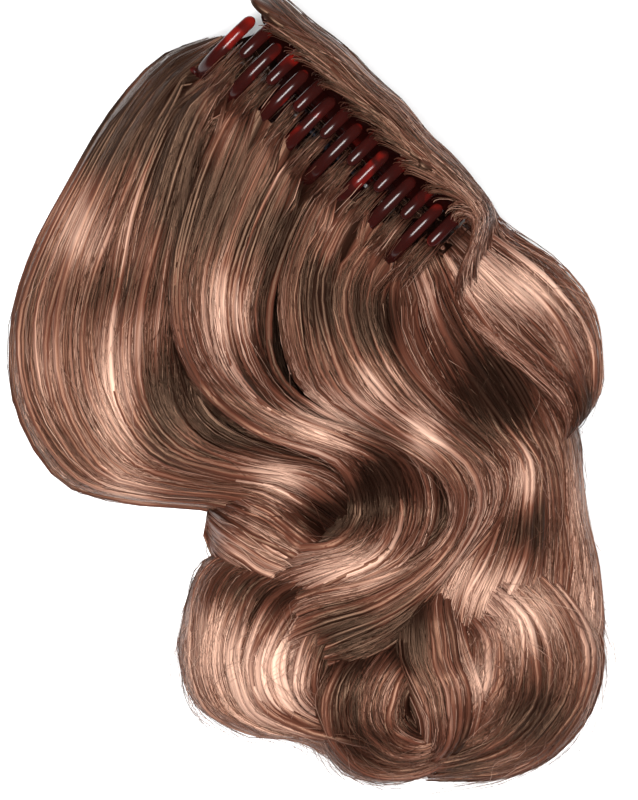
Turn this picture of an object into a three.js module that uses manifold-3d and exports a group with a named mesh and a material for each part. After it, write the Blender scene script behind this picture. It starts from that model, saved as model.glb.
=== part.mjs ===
// A wavy ponytail on a claw clip, lying teeth up with the hair swept to one side.
// Millimetres, +Z up. The origin is on the floor under the middle of the fall, and X runs along the clip.
import * as THREE from 'three';
import { mergeVertices } from 'three/addons/utils/BufferGeometryUtils.js';
import Module from 'manifold-3d';

const wasm = await Module();
wasm.setup();

// Clip
const CLIP_X = -50;            // the hinge's middle, from the origin
const CLIP_Y = 59;
const CLIP_TILT = 10;          // degrees, the teeth leaning towards the jaw that opens
const CLIP_LENGTH = 92;
const HINGE_HEIGHT = 21;       // above the floor
const JAW_RADIUS = 16.5;       // outside of the curved plate and the teeth
const JAW_RISE = 15;           // from the hinge up to the middle of that curve
const JAW_WALL = 2.6;
const SHELL_FROM = 24;         // degrees round the curve from straight down
const SHELL_TO = 95;
const JAW_CLEARANCE = 0.3;     // between pieces that stay apart

// Teeth
const TEETH = 8;               // on each jaw
const TOOTH_PITCH = 11.3;
const TOOTH_WIDTH = 4.4;
const TOOTH_DEPTH = 2.8;
const TOOTH_OVERREACH = 22;    // degrees past the top of the curve
const TOOTH_TAPER = 0.14;      // share of the width lost at the tip
const TOOTH_TIP = 0.08;        // share of the length over which the tip rounds off
const TOOTH_ROOT = 12;         // degrees that a tooth's root reaches down into the plate

// Hinge, spring and thumb tabs
const PIN_RADIUS = 1.5;
const BORE_CLEARANCE = 0.35;
const LUG_RADIUS = 3.8;
const LUG_LENGTH = 7;
const LUG_START = 12;          // from the middle to the first lug
const LUG_GAP = 0.6;
const WEB_HEIGHT = 4.2;
const SPRING_RADIUS = 2.5;
const SPRING_WIRE = 0.45;      // radius of the wire
const SPRING_TURNS = 5;
const SPRING_LENGTH = 19;
const TAB_LENGTH = 12;
const TAB_WIDTH = 36;
const TAB_SPLAY = 40;          // degrees out from straight down
const TAB_THICKNESS = 2.6;
const TAB_CLEARANCE = 0.8;     // between the tabs' swing and the hair under them

// Hair
const FALL_WIDTH = 181;        // across the fall as it lies, from its left edge to its right
const FALL_LENGTH = 235;       // from the clip's end of the fall to the tips
const HAIR_HEIGHT = 48;        // of the hair where it leaves the clip
const FALL_TURN = 45;          // degrees from the clip's length to the fall's across direction
const CLIP_ACROSS = 0.533;     // where the hinge's middle lies on the fall, as shares of its width and length
const CLIP_DOWN = 0.171;
const BACKING_HEIGHT = 9;
const UNDERLAY_HEIGHT = 5;     // of the hair that lies under the clip
const LOCK_CROWN = 3.4;        // how far a lock's edges drop below its crest
const SWATHE_ARCH = 3;         // how far the middle of a swathe stands above the line between its edges
const LOCK_STEP = 1.4;         // every other lock stands this much lower
const LOCK_OVERLAP = 1.3;      // a lock's width as a share of the space between neighbours
const RINGS_PER_ROW = 1.3;
const LOCK_TIP = 0.14;         // share of a lock over which its tip narrows
const COVER_LOCKS = 4;         // on the jaw that opens
const COVER_DEPTH = 4.6;
const COVER_OVERLAP = 1.8;
const COVER_FROM = 142;        // degrees round the curve, counted down from the top lock
const COVER_TO = 84;
const COVER_WAVE = 2.5;        // degrees that the locks sway

const SIDE_A = -1;
const SIDE_B = 1;
const BLUNTNESS = 0.1;         // of each rounded end
const FAR = 300;               // longer than anything that is cut
const radians = THREE.MathUtils.degToRad;

// The fall's swathes. A row is a station along a swathe: where its near edge and its far edge lie, as
// shares of FALL_WIDTH, FALL_LENGTH and HAIR_HEIGHT.
const COLUMNS = ['nearAcross', 'nearDown', 'nearHeight', 'farAcross', 'farDown', 'farHeight'];
const SWATHES = {
  leftSweep: { locks: 4, rows: [
    [0.370, 0.015, 0.80, 0.380, 0.100, 0.95],
    [0.265, 0.045, 0.60, 0.330, 0.140, 0.90],
    [0.175, 0.120, 0.44, 0.300, 0.200, 0.84],
    [0.100, 0.220, 0.38, 0.280, 0.270, 0.82],
    [0.040, 0.310, 0.35, 0.265, 0.345, 0.74],
    [0.005, 0.405, 0.28, 0.255, 0.425, 0.62],
    [0.015, 0.510, 0.24, 0.270, 0.500, 0.52],
    [0.090, 0.595, 0.26, 0.325, 0.550, 0.50],
    [0.200, 0.630, 0.20, 0.415, 0.575, 0.42],
    [0.330, 0.640, 0.14, 0.510, 0.590, 0.34],
    [0.425, 0.670, 0.14, 0.570, 0.625, 0.28],
  ] },
  centreWave: { locks: 4, rows: [
    [0.380, 0.100, 0.95, 0.495, 0.190, 0.96],
    [0.310, 0.225, 0.84, 0.430, 0.295, 0.90],
    [0.270, 0.330, 0.80, 0.400, 0.380, 0.85],
    [0.275, 0.415, 0.71, 0.420, 0.460, 0.73],
    [0.320, 0.485, 0.55, 0.490, 0.515, 0.58],
    [0.415, 0.540, 0.60, 0.590, 0.540, 0.62],
    [0.540, 0.575, 0.49, 0.675, 0.575, 0.53],
    [0.580, 0.635, 0.33, 0.700, 0.640, 0.38],
    [0.545, 0.680, 0.40, 0.665, 0.705, 0.46],
    [0.470, 0.690, 0.33, 0.545, 0.740, 0.38],
  ] },
  outerWave: { locks: 4, rows: [
    [0.520, 0.215, 0.96, 0.665, 0.295, 0.95],
    [0.465, 0.315, 0.88, 0.610, 0.365, 0.82],
    [0.450, 0.390, 0.82, 0.630, 0.435, 0.75],
    [0.475, 0.470, 0.73, 0.690, 0.500, 0.73],
    [0.555, 0.520, 0.60, 0.760, 0.545, 0.62],
    [0.655, 0.555, 0.55, 0.820, 0.590, 0.60],
    [0.730, 0.600, 0.58, 0.815, 0.645, 0.53],
    [0.740, 0.660, 0.42, 0.760, 0.705, 0.40],
    [0.680, 0.710, 0.46, 0.705, 0.760, 0.35],
    [0.570, 0.750, 0.38, 0.620, 0.825, 0.31],
  ] },
  rightFall: { locks: 4, rows: [
    [0.650, 0.315, 0.84, 0.735, 0.295, 0.80],
    [0.640, 0.385, 0.70, 0.845, 0.410, 0.55],
    [0.670, 0.455, 0.62, 0.925, 0.485, 0.42],
    [0.735, 0.515, 0.50, 0.960, 0.545, 0.30],
    [0.810, 0.570, 0.46, 0.965, 0.595, 0.32],
    [0.800, 0.640, 0.42, 0.975, 0.655, 0.26],
    [0.760, 0.700, 0.33, 0.995, 0.725, 0.24],
    [0.720, 0.760, 0.36, 1.000, 0.810, 0.22],
    [0.705, 0.825, 0.36, 0.960, 0.905, 0.19],
    [0.745, 0.915, 0.28, 0.870, 0.980, 0.14],
  ] },
  rightLobe: { locks: 3, rows: [
    [0.680, 0.295, 0.92, 0.750, 0.240, 0.74],
    [0.745, 0.370, 0.78, 0.830, 0.270, 0.56],
    [0.805, 0.430, 0.66, 0.915, 0.315, 0.44],
    [0.870, 0.470, 0.55, 0.975, 0.370, 0.38],
    [0.920, 0.505, 0.46, 0.995, 0.430, 0.32],
    [0.935, 0.540, 0.36, 0.990, 0.495, 0.26],
    [0.895, 0.585, 0.26, 0.925, 0.555, 0.24],
  ] },
  underLock: { locks: 1, rows: [
    [0.320, 0.645, 0.18, 0.380, 0.635, 0.31],
    [0.345, 0.680, 0.18, 0.430, 0.660, 0.31],
    [0.395, 0.710, 0.20, 0.490, 0.685, 0.29],
    [0.470, 0.740, 0.22, 0.565, 0.705, 0.29],
  ] },
  lowerCurl: { locks: 4, rows: [
    [0.445, 0.705, 0.32, 0.615, 0.760, 0.40],
    [0.340, 0.715, 0.26, 0.545, 0.785, 0.46],
    [0.290, 0.775, 0.24, 0.505, 0.825, 0.47],
    [0.280, 0.835, 0.23, 0.495, 0.870, 0.43],
    [0.310, 0.900, 0.21, 0.520, 0.900, 0.38],
    [0.390, 0.935, 0.20, 0.570, 0.920, 0.35],
    [0.480, 0.945, 0.19, 0.640, 0.940, 0.32],
    [0.570, 0.985, 0.14, 0.705, 0.955, 0.24],
  ] },
  endBall: { locks: 3, rows: [
    [0.545, 0.810, 0.35, 0.720, 0.810, 0.35],
    [0.500, 0.875, 0.38, 0.670, 0.855, 0.40],
    [0.510, 0.940, 0.31, 0.645, 0.895, 0.40],
    [0.570, 0.990, 0.20, 0.655, 0.925, 0.38],
    [0.650, 1.000, 0.18, 0.690, 0.940, 0.33],
    [0.740, 0.975, 0.20, 0.720, 0.930, 0.31],
    [0.790, 0.915, 0.22, 0.740, 0.890, 0.29],
  ] },
  rightEnd: { locks: 3, rows: [
    [0.770, 0.750, 0.40, 0.985, 0.750, 0.26],
    [0.740, 0.825, 0.40, 1.000, 0.825, 0.26],
    [0.745, 0.895, 0.35, 0.980, 0.895, 0.24],
    [0.780, 0.955, 0.26, 0.930, 0.955, 0.20],
    [0.820, 0.990, 0.15, 0.865, 0.985, 0.13],
  ] },
};

// The low backing under the locks: its outline, as [across, down] shares of the fall.
const BACKING_OUTLINE = [
  [0.305, 0.075], [0.225, 0.160], [0.155, 0.260], [0.085, 0.355], [0.045, 0.435], [0.060, 0.530],
  [0.140, 0.595], [0.280, 0.610], [0.390, 0.635], [0.425, 0.690], [0.360, 0.745], [0.320, 0.810],
  [0.340, 0.890], [0.440, 0.915], [0.545, 0.945], [0.655, 0.975], [0.745, 0.945], [0.830, 0.965],
  [0.925, 0.905], [0.965, 0.810], [0.960, 0.725], [0.935, 0.635], [0.925, 0.555], [0.955, 0.485],
  [0.955, 0.415], [0.895, 0.345], [0.805, 0.285], [0.720, 0.260], [0.540, 0.250], [0.390, 0.135],
];

// The thin layer of hair that the clip lies on, in the same way.
const UNDERLAY_OUTLINE = [
  [0.425, 0.010], [0.490, 0.045], [0.565, 0.080], [0.635, 0.130], [0.690, 0.175], [0.740, 0.230],
  [0.790, 0.270], [0.770, 0.315], [0.690, 0.330], [0.540, 0.250], [0.380, 0.135], [0.330, 0.075],
  [0.365, 0.025],
];

// Half outline of a jaw seen from its side: along the clip as a share of half its length, and the height
// above the hinge as a share of JAW_RISE.
const JAW_OUTLINE = [
  [1, 1.4], [1, 0.85], [0.93, 0.45], [0.74, 0.12], [0.52, -0.06],
];

// Turns a three.js geometry into a solid for joining and cutting, and back.
function solidOf(geometry) {
  const bare = geometry.clone();
  bare.deleteAttribute('normal');
  bare.deleteAttribute('uv');
  const merged = mergeVertices(bare);
  return new wasm.Manifold(new wasm.Mesh({
    numProp: 3,
    vertProperties: new Float32Array(merged.attributes.position.array),
    triVerts: new Uint32Array(merged.index.array),
  }));
}

function geometryOf(solid) {
  const mesh = solid.getMesh();
  const geometry = new THREE.BufferGeometry();
  const positions = new Float32Array(mesh.numVert * 3);
  for (let i = 0; i < mesh.numVert; i += 1) {
    for (let axis = 0; axis < 3; axis += 1) {
      positions[3 * i + axis] = mesh.vertProperties[mesh.numProp * i + axis];
    }
  }
  geometry.setAttribute('position', new THREE.BufferAttribute(positions, 3));
  geometry.setIndex(new THREE.BufferAttribute(new Uint32Array(mesh.triVerts), 1));
  geometry.computeVertexNormals();
  return geometry;
}

function joined(solids) {
  return solids.reduce((sum, next) => sum.add(next));
}

// How wide an end still is, as it rounds off from 0 to 1 of the way along it.
function rounded(along) {
  return Math.sqrt(Math.max(BLUNTNESS, 1 - Math.max(0, along) ** 2));
}

// Bends an upright cylinder blank: place(x, t, z) gives where a point of its unit circle goes, t of the way up.
function bent(sides, rings, place) {
  const blank = new THREE.CylinderGeometry(1, 1, 1, sides, rings);
  const position = blank.attributes.position;
  const point = new THREE.Vector3();
  for (let i = 0; i < position.count; i += 1) {
    point.fromBufferAttribute(position, i);
    const placed = place(point.x, point.y + 0.5, point.z);
    position.setXYZ(i, placed.x, placed.y, placed.z);
  }
  return solidOf(blank);
}

// A section drawn in the clip's Y and Z, carried along X from one place to another.
function alongClip(shape, from, to, curveSegments = 10) {
  const geometry = new THREE.ExtrudeGeometry(shape, { depth: to - from, bevelEnabled: false, curveSegments });
  const turn = new THREE.Matrix4().makeBasis(
    new THREE.Vector3(0, 1, 0), new THREE.Vector3(0, 0, 1), new THREE.Vector3(1, 0, 0));
  geometry.applyMatrix4(turn);
  geometry.translate(from, 0, 0);
  return geometry;
}

function roundAlongClip(radius, from, to, sides) {
  const geometry = new THREE.CylinderGeometry(radius, radius, to - from, sides);
  geometry.rotateZ(Math.PI / 2);
  geometry.translate((from + to) / 2, 0, 0);
  return geometry;
}

// A point on a jaw's curve, by degrees from straight down and distance from the curve's middle.
function onCurve(side, degrees, radius, x) {
  const angle = radians(degrees);
  return new THREE.Vector3(x, side * radius * Math.sin(angle), JAW_RISE - radius * Math.cos(angle));
}

function shell(side) {
  const angle = (degrees) => radians(side > 0 ? degrees - 90 : 270 - degrees);
  const section = new THREE.Shape();
  section.absarc(0, JAW_RISE, JAW_RADIUS, angle(SHELL_FROM), angle(SHELL_TO), side < 0);
  section.absarc(0, JAW_RISE, JAW_RADIUS - JAW_WALL, angle(SHELL_TO), angle(SHELL_FROM), side > 0);
  const half = CLIP_LENGTH / 2;
  const outline = new THREE.Shape();
  const right = JAW_OUTLINE.map(([along, up]) => [along * half, up * JAW_RISE]);
  const left = right.map(([along, up]) => [-along, up]).reverse();
  outline.setFromPoints([...right, ...left].map(([along, up]) => new THREE.Vector2(along, up)));
  const template = new THREE.ExtrudeGeometry(outline, { depth: 4 * JAW_RADIUS, bevelEnabled: false });
  template.rotateX(Math.PI / 2);
  template.translate(0, 2 * JAW_RADIUS, 0);
  return solidOf(alongClip(section, -half, half)).intersect(solidOf(template));
}

function tooth(side, x) {
  const from = SHELL_TO - TOOTH_ROOT;
  const to = 180 + TOOTH_OVERREACH;
  const middle = JAW_RADIUS - TOOTH_DEPTH / 2;
  return bent(8, 8, (across, up, out) => {
    const along = Math.sin(up * Math.PI / 2) ** 0.9;
    const tip = rounded((along - 1 + TOOTH_TIP) / TOOTH_TIP);
    const narrow = (1 - TOOTH_TAPER * along) * tip;
    const radius = middle + out * narrow * TOOTH_DEPTH / 2;
    return onCurve(side, from + (to - from) * along, radius, x - side * across * narrow * TOOTH_WIDTH / 2);
  });
}

// The thumb tab leaves the shell's lower edge and splays outwards.
function tab(side) {
  const outline = new THREE.Shape();
  const half = TAB_WIDTH / 2;
  const corner = TAB_LENGTH / 3;
  outline.moveTo(-half - corner, 0);
  outline.lineTo(half + corner, 0);
  outline.lineTo(half, TAB_LENGTH - corner);
  outline.quadraticCurveTo(half, TAB_LENGTH, half - corner, TAB_LENGTH);
  outline.lineTo(-half + corner, TAB_LENGTH);
  outline.quadraticCurveTo(-half, TAB_LENGTH, -half, TAB_LENGTH - corner);
  const geometry = new THREE.ExtrudeGeometry(outline,
    { depth: TAB_THICKNESS, bevelEnabled: false, curveSegments: 4 });
  geometry.translate(0, 0, -TAB_THICKNESS / 2);
  const along = new THREE.Vector3(1, 0, 0);
  const outwards = new THREE.Vector3(0, side * Math.sin(radians(TAB_SPLAY)), -Math.cos(radians(TAB_SPLAY)));
  geometry.applyMatrix4(new THREE.Matrix4().makeBasis(along, outwards, along.clone().cross(outwards)));
  const root = onCurve(side, SHELL_FROM, JAW_RADIUS - JAW_WALL / 2, 0);
  geometry.translate(root.x, root.y, root.z);
  return solidOf(geometry);
}

function lugs(side) {
  const start = side < 0 ? LUG_START : LUG_START + LUG_LENGTH + LUG_GAP;
  const reach = onCurve(side, SHELL_FROM, JAW_RADIUS - JAW_WALL / 2, 0).y;
  return [-1, 1].flatMap((end) => {
    const from = Math.min(end * start, end * (start + LUG_LENGTH));
    const web = new THREE.BoxGeometry(LUG_LENGTH, Math.abs(reach), WEB_HEIGHT);
    web.translate(from + LUG_LENGTH / 2, reach / 2, 0);
    return [solidOf(roundAlongClip(LUG_RADIUS, from, from + LUG_LENGTH, 20)), solidOf(web)];
  });
}

function jaw(side) {
  const half = (TEETH - 0.5) * TOOTH_PITCH / 2;
  const first = side < 0 ? -half : -half + TOOTH_PITCH / 2;
  const teeth = Array.from({ length: TEETH }, (_, i) => tooth(side, first + i * TOOTH_PITCH));
  const bore = roundAlongClip(PIN_RADIUS + BORE_CLEARANCE, -CLIP_LENGTH, CLIP_LENGTH, 16);
  return joined([shell(side), tab(side), ...lugs(side), ...teeth]).subtract(solidOf(bore));
}

function hingePin() {
  const end = LUG_START + 2 * LUG_LENGTH + 2 * LUG_GAP;
  return roundAlongClip(PIN_RADIUS, -end, end, 12);
}

// The coil sits on the pin between the lugs.
class Coil extends THREE.Curve {
  getPoint(t) {
    const angle = 2 * Math.PI * SPRING_TURNS * t;
    return new THREE.Vector3((t - 0.5) * SPRING_LENGTH, SPRING_RADIUS * Math.cos(angle), SPRING_RADIUS * Math.sin(angle));
  }
}

function spring() {
  const wire = new THREE.Shape();
  wire.absarc(0, 0, SPRING_WIRE, 0, 2 * Math.PI);
  return new THREE.ExtrudeGeometry(wire,
    { steps: 9 * SPRING_TURNS, curveSegments: 3, extrudePath: new Coil(), bevelEnabled: false });
}

// From shares of the fall to the part's own frame.
function onFall(across, down, height) {
  const acrossBy = (across - CLIP_ACROSS) * FALL_WIDTH;
  const downBy = (down - CLIP_DOWN) * FALL_LENGTH;
  const turn = radians(FALL_TURN);
  return new THREE.Vector3(
    CLIP_X + acrossBy * Math.cos(turn) + downBy * Math.sin(turn),
    CLIP_Y + acrossBy * Math.sin(turn) - downBy * Math.cos(turn),
    height * HAIR_HEIGHT);
}

function edgeCurve(rows, edge) {
  const [across, down, height] = ['Across', 'Down', 'Height'].map((name) => COLUMNS.indexOf(edge + name));
  return new THREE.CatmullRomCurve3(rows.map((row) => onFall(row[across], row[down], row[height])));
}

// One lock of a swathe: a ridge from the floor to its crest.
function lock(swathe, index) {
  const near = edgeCurve(swathe.rows, 'near');
  const far = edgeCurve(swathe.rows, 'far');
  const share = (index + 0.5) / swathe.locks;
  const rise = SWATHE_ARCH * Math.sin(Math.PI * share) - (index % 2) * LOCK_STEP;
  const rings = Math.round(RINGS_PER_ROW * (swathe.rows.length - 1));
  return bent(8, rings, (x, t, z) => {
    const nearPoint = near.getPoint(t);
    const farPoint = far.getPoint(t);
    const point = nearPoint.clone().lerp(farPoint, share);
    const tangent = near.getTangent(t).lerp(far.getTangent(t), share).setZ(0).normalize();
    const beside = new THREE.Vector3(tangent.y, -tangent.x, 0);
    const space = Math.abs(farPoint.sub(nearPoint).dot(beside)) / swathe.locks;
    const tip = rounded((t - 1 + LOCK_TIP) / LOCK_TIP);
    const halfWidth = Math.max(TOOTH_WIDTH / 2, space * LOCK_OVERLAP / 2) * tip;
    const crown = Math.min(LOCK_CROWN, halfWidth);
    const below = z < -0.01;
    const wide = below && Math.abs(x) > 0.1 ? Math.sign(x) : x;
    point.addScaledVector(beside, wide * halfWidth);
    point.z = below ? -crown : point.z + rise - crown * (1 - z);
    return point;
  });
}

// A flat layer on the floor, reaching a little below it until the floor's cut.
function layer(rows, height) {
  const points = rows.map(([across, down]) => onFall(across, down, 0));
  const outline = new THREE.Shape();
  outline.setFromPoints(points.map((point) => new THREE.Vector2(point.x, point.y)));
  const geometry = new THREE.ExtrudeGeometry(outline,
    { depth: height + LOCK_CROWN, bevelEnabled: false });
  geometry.translate(0, 0, -LOCK_CROWN);
  return solidOf(geometry);
}

// The clip's own frame, from its hinge, inside the part's.
const clip = new THREE.Group();
clip.position.set(CLIP_X, CLIP_Y, HINGE_HEIGHT);
clip.rotation.x = -radians(CLIP_TILT);
clip.updateMatrixWorld(true);

function inClip(geometry) {
  return solidOf(geometry.applyMatrix4(clip.matrixWorld));
}

// What the fall keeps clear of: the closed jaws, the swing of the tabs, and the whole side that opens.
function clipRoom() {
  const end = CLIP_LENGTH / 2 + 5 * JAW_CLEARANCE;
  const round = new THREE.Shape();
  round.absarc(0, JAW_RISE, JAW_RADIUS + JAW_CLEARANCE, 0, 2 * Math.PI);
  const jaws = inClip(alongClip(round, -FAR, end, 30));
  const root = onCurve(SIDE_B, SHELL_FROM, JAW_RADIUS - JAW_WALL / 2, 0);
  const splay = radians(TAB_SPLAY);
  const reach = Math.hypot(root.y + TAB_LENGTH * Math.sin(splay), root.z - TAB_LENGTH * Math.cos(splay));
  const swing = reach + TAB_THICKNESS / 2 + TAB_CLEARANCE;
  const tabs = inClip(roundAlongClip(swing, -FAR, end, 40));
  const opening = new THREE.BoxGeometry(FAR + end, FAR, FAR);
  opening.translate(CLIP_X + (end - FAR) / 2, CLIP_Y + FAR / 2, FAR / 2 + UNDERLAY_HEIGHT);
  return joined([jaws, tabs, solidOf(opening)]);
}

function hairFall() {
  const locks = Object.values(SWATHES).flatMap(
    (swathe) => Array.from({ length: swathe.locks }, (_, i) => lock(swathe, i)));
  const below = new THREE.BoxGeometry(2 * FAR, 2 * FAR, FAR);
  below.translate(0, 0, -FAR / 2);
  const layers = [layer(BACKING_OUTLINE, BACKING_HEIGHT), layer(UNDERLAY_OUTLINE, UNDERLAY_HEIGHT)];
  return joined([...layers, ...locks]).subtract(clipRoom()).subtract(solidOf(below));
}

// Locks along the outside of the jaw that opens, fused to each other and cut to its curve.
function hairCover() {
  const length = CLIP_LENGTH - 2 * JAW_CLEARANCE;
  const step = (COVER_TO - COVER_FROM) / (COVER_LOCKS - 1);
  const radius = JAW_RADIUS + JAW_CLEARANCE + COVER_DEPTH / 3;
  const width = radians(Math.abs(step)) * radius * COVER_OVERLAP;
  const locks = Array.from({ length: COVER_LOCKS }, (_, i) => bent(8, 10, (across, up, out) => {
    const sway = COVER_WAVE * Math.sin(2 * Math.PI * up + i);
    const end = Math.sqrt(Math.max(0.15, 1 - (2 * up - 1) ** 8));
    const from = COVER_FROM + i * step + sway;
    const degrees = from + across * end * width / 2 / radians(1) / radius;
    return onCurve(SIDE_B, degrees, radius + out * end * COVER_DEPTH * 2 / 3, (up - 0.5) * length);
  }));
  const jaws = new THREE.Shape();
  jaws.absarc(0, JAW_RISE, JAW_RADIUS + JAW_CLEARANCE, 0, 2 * Math.PI);
  return joined(locks).subtract(solidOf(alongClip(jaws, -CLIP_LENGTH, CLIP_LENGTH, 30)));
}

const acetate = { color: 0x2a0d0a, roughness: 0.12, metalness: 0 };
const steel = { color: 0x8a8a8c, roughness: 0.35, metalness: 1 };
const hair = { color: 0x7d5a46, roughness: 0.5, metalness: 0 };

function mesh(name, geometry, finish, parent) {
  const made = new THREE.Mesh(geometry, new THREE.MeshStandardMaterial(finish));
  made.name = name;
  parent.add(made);
}

const ponytail = new THREE.Group();
ponytail.add(clip);
mesh('jaw_a', geometryOf(jaw(SIDE_A)), acetate, clip);
mesh('jaw_b', geometryOf(jaw(SIDE_B)), acetate, clip);
mesh('hinge_pin', hingePin(), steel, clip);
mesh('spring', spring(), steel, clip);
mesh('hair_cover', geometryOf(hairCover()), hair, clip);
mesh('hair_fall', geometryOf(hairFall()), hair, ponytail);

export default ponytail;
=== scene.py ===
"""A wavy clip-in ponytail on a claw clip, dressed around its measured frame.

Lengths are metres unless a comment says otherwise. The hair lies on the floor, the clip's teeth point up, and
X runs along the clip.
"""
import math

import bmesh
import bpy
import numpy as np
from bpy.props import FloatProperty, FloatVectorProperty, IntProperty, PointerProperty
from mathutils import Matrix, Vector


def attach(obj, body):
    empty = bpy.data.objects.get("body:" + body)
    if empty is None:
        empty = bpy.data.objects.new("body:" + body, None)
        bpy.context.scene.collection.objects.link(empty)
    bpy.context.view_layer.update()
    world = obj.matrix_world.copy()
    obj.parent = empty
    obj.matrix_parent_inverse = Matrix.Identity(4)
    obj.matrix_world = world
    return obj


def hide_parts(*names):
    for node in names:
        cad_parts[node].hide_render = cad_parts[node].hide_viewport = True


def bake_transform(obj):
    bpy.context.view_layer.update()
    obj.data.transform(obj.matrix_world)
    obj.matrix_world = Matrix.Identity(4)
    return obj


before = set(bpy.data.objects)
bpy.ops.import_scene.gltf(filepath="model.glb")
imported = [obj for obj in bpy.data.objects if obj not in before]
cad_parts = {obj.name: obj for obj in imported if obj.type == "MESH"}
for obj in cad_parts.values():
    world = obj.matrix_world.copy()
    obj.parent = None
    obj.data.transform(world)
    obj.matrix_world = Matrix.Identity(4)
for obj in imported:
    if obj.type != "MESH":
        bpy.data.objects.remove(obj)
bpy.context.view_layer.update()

bl_info = {
    "name": "Clip-in ponytail",
    "version": (1, 0, 0),
    "blender": (4, 5, 0),
    "location": "View3D > Sidebar > Ponytail",
    "description": "Builds a wavy clip-in ponytail with a claw clip",
    "category": "Object",
}

MM = 0.001
TURN = 2 * math.pi

# The clip's hinge and its tilt, how the fall is turned, and where on the fall the hinge lies, as shares
CLIP_PLACE = (-0.050, 0.059, 0.021)
CLIP_TILT = 10
FALL_TURN = 45
CLIP_ACROSS = 0.533
CLIP_DOWN = 0.171

# The jaw's curve, in degrees from straight down
SHELL_FROM = 24
SHELL_TO = 95
TOOTH_ROOT = 12
TOOTH_OVERREACH = 22
TAB_SPLAY = 40
SIDE_A = -1
SIDE_B = 1

# A tooth's width lost at its tip, as a share, and the share of its length over which the tip rounds off
TOOTH_TAPER = 0.14
TOOTH_TIP = 0.085

# The lugs on the pin: length, where the first starts from the middle, gap between two, their webs' height,
# and how much wider than the pin they are drilled
LUG_LENGTH = 0.007
LUG_START = 0.012
LUG_GAP = 0.0006
WEB_HEIGHT = 0.0042
BORE_CLEARANCE = 0.00035

# Rounding of the plates' and tabs' rims, and of the lugs'
RIM_ROUNDING = 0.0007
LUG_ROUNDING = 0.0004

# The hair on the opening jaw: where it starts and ends along the clip, how far its inner face lies off the
# jaw, how many locks slant over it, and where the last of them starts
COVER_START = -0.0468
COVER_END = 0.0457
COVER_INSIDE = 0.0004
COVER_SLANTS = 13
LAST_SLANT = 0.022

# The room that the opening jaw swings in: its end and its edge from the hinge, and its height above the floor
SWING_END = 0.0475
SWING_EDGE = 0.0005
SWING_FLOOR = 0.0048

# The lowest that a strand's middle and its surface lie above the floor
LOWEST_PATH = 0.0003
LOWEST_POINT = 0.00002

# How far a swathe's rounded edge goes past its outline, and over which share of its width it turns down
RIM_REACH = 0.012
RIM_TURN = 0.22

# How far apart the grain of two neighbouring strands starts in its pattern, in millimetres
APART = 7.31

# Heights of the two layers of hair on the floor, and half thickness of a loose hair and of a wisp at a root
BACKING_HEIGHT = 0.0065
UNDERLAY_HEIGHT = 0.0036
LOOSE_HAIR = 0.00009
ROOT_HAIR = 0.00017

# The strip light's size and place, and the camera's: its place under its own height, and how much it sees
STRIP_SIZE = (0.30, 1.0)
STRIP_PLACE = (0.0, -0.14, 1.25)
VIEW_PLACE = (0.0020, 0.0028, 0.030)
VIEW_TURN = 45
VIEW_HEIGHT = 0.2424
SENSOR_HEIGHT = 24

# Half outline of a jaw from its side: share of half its length, and of its rise above the hinge
JAW_OUTLINE = [(1, 1.4), (1, 0.85), (0.93, 0.45), (0.74, 0.12), (0.52, -0.06)]

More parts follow.
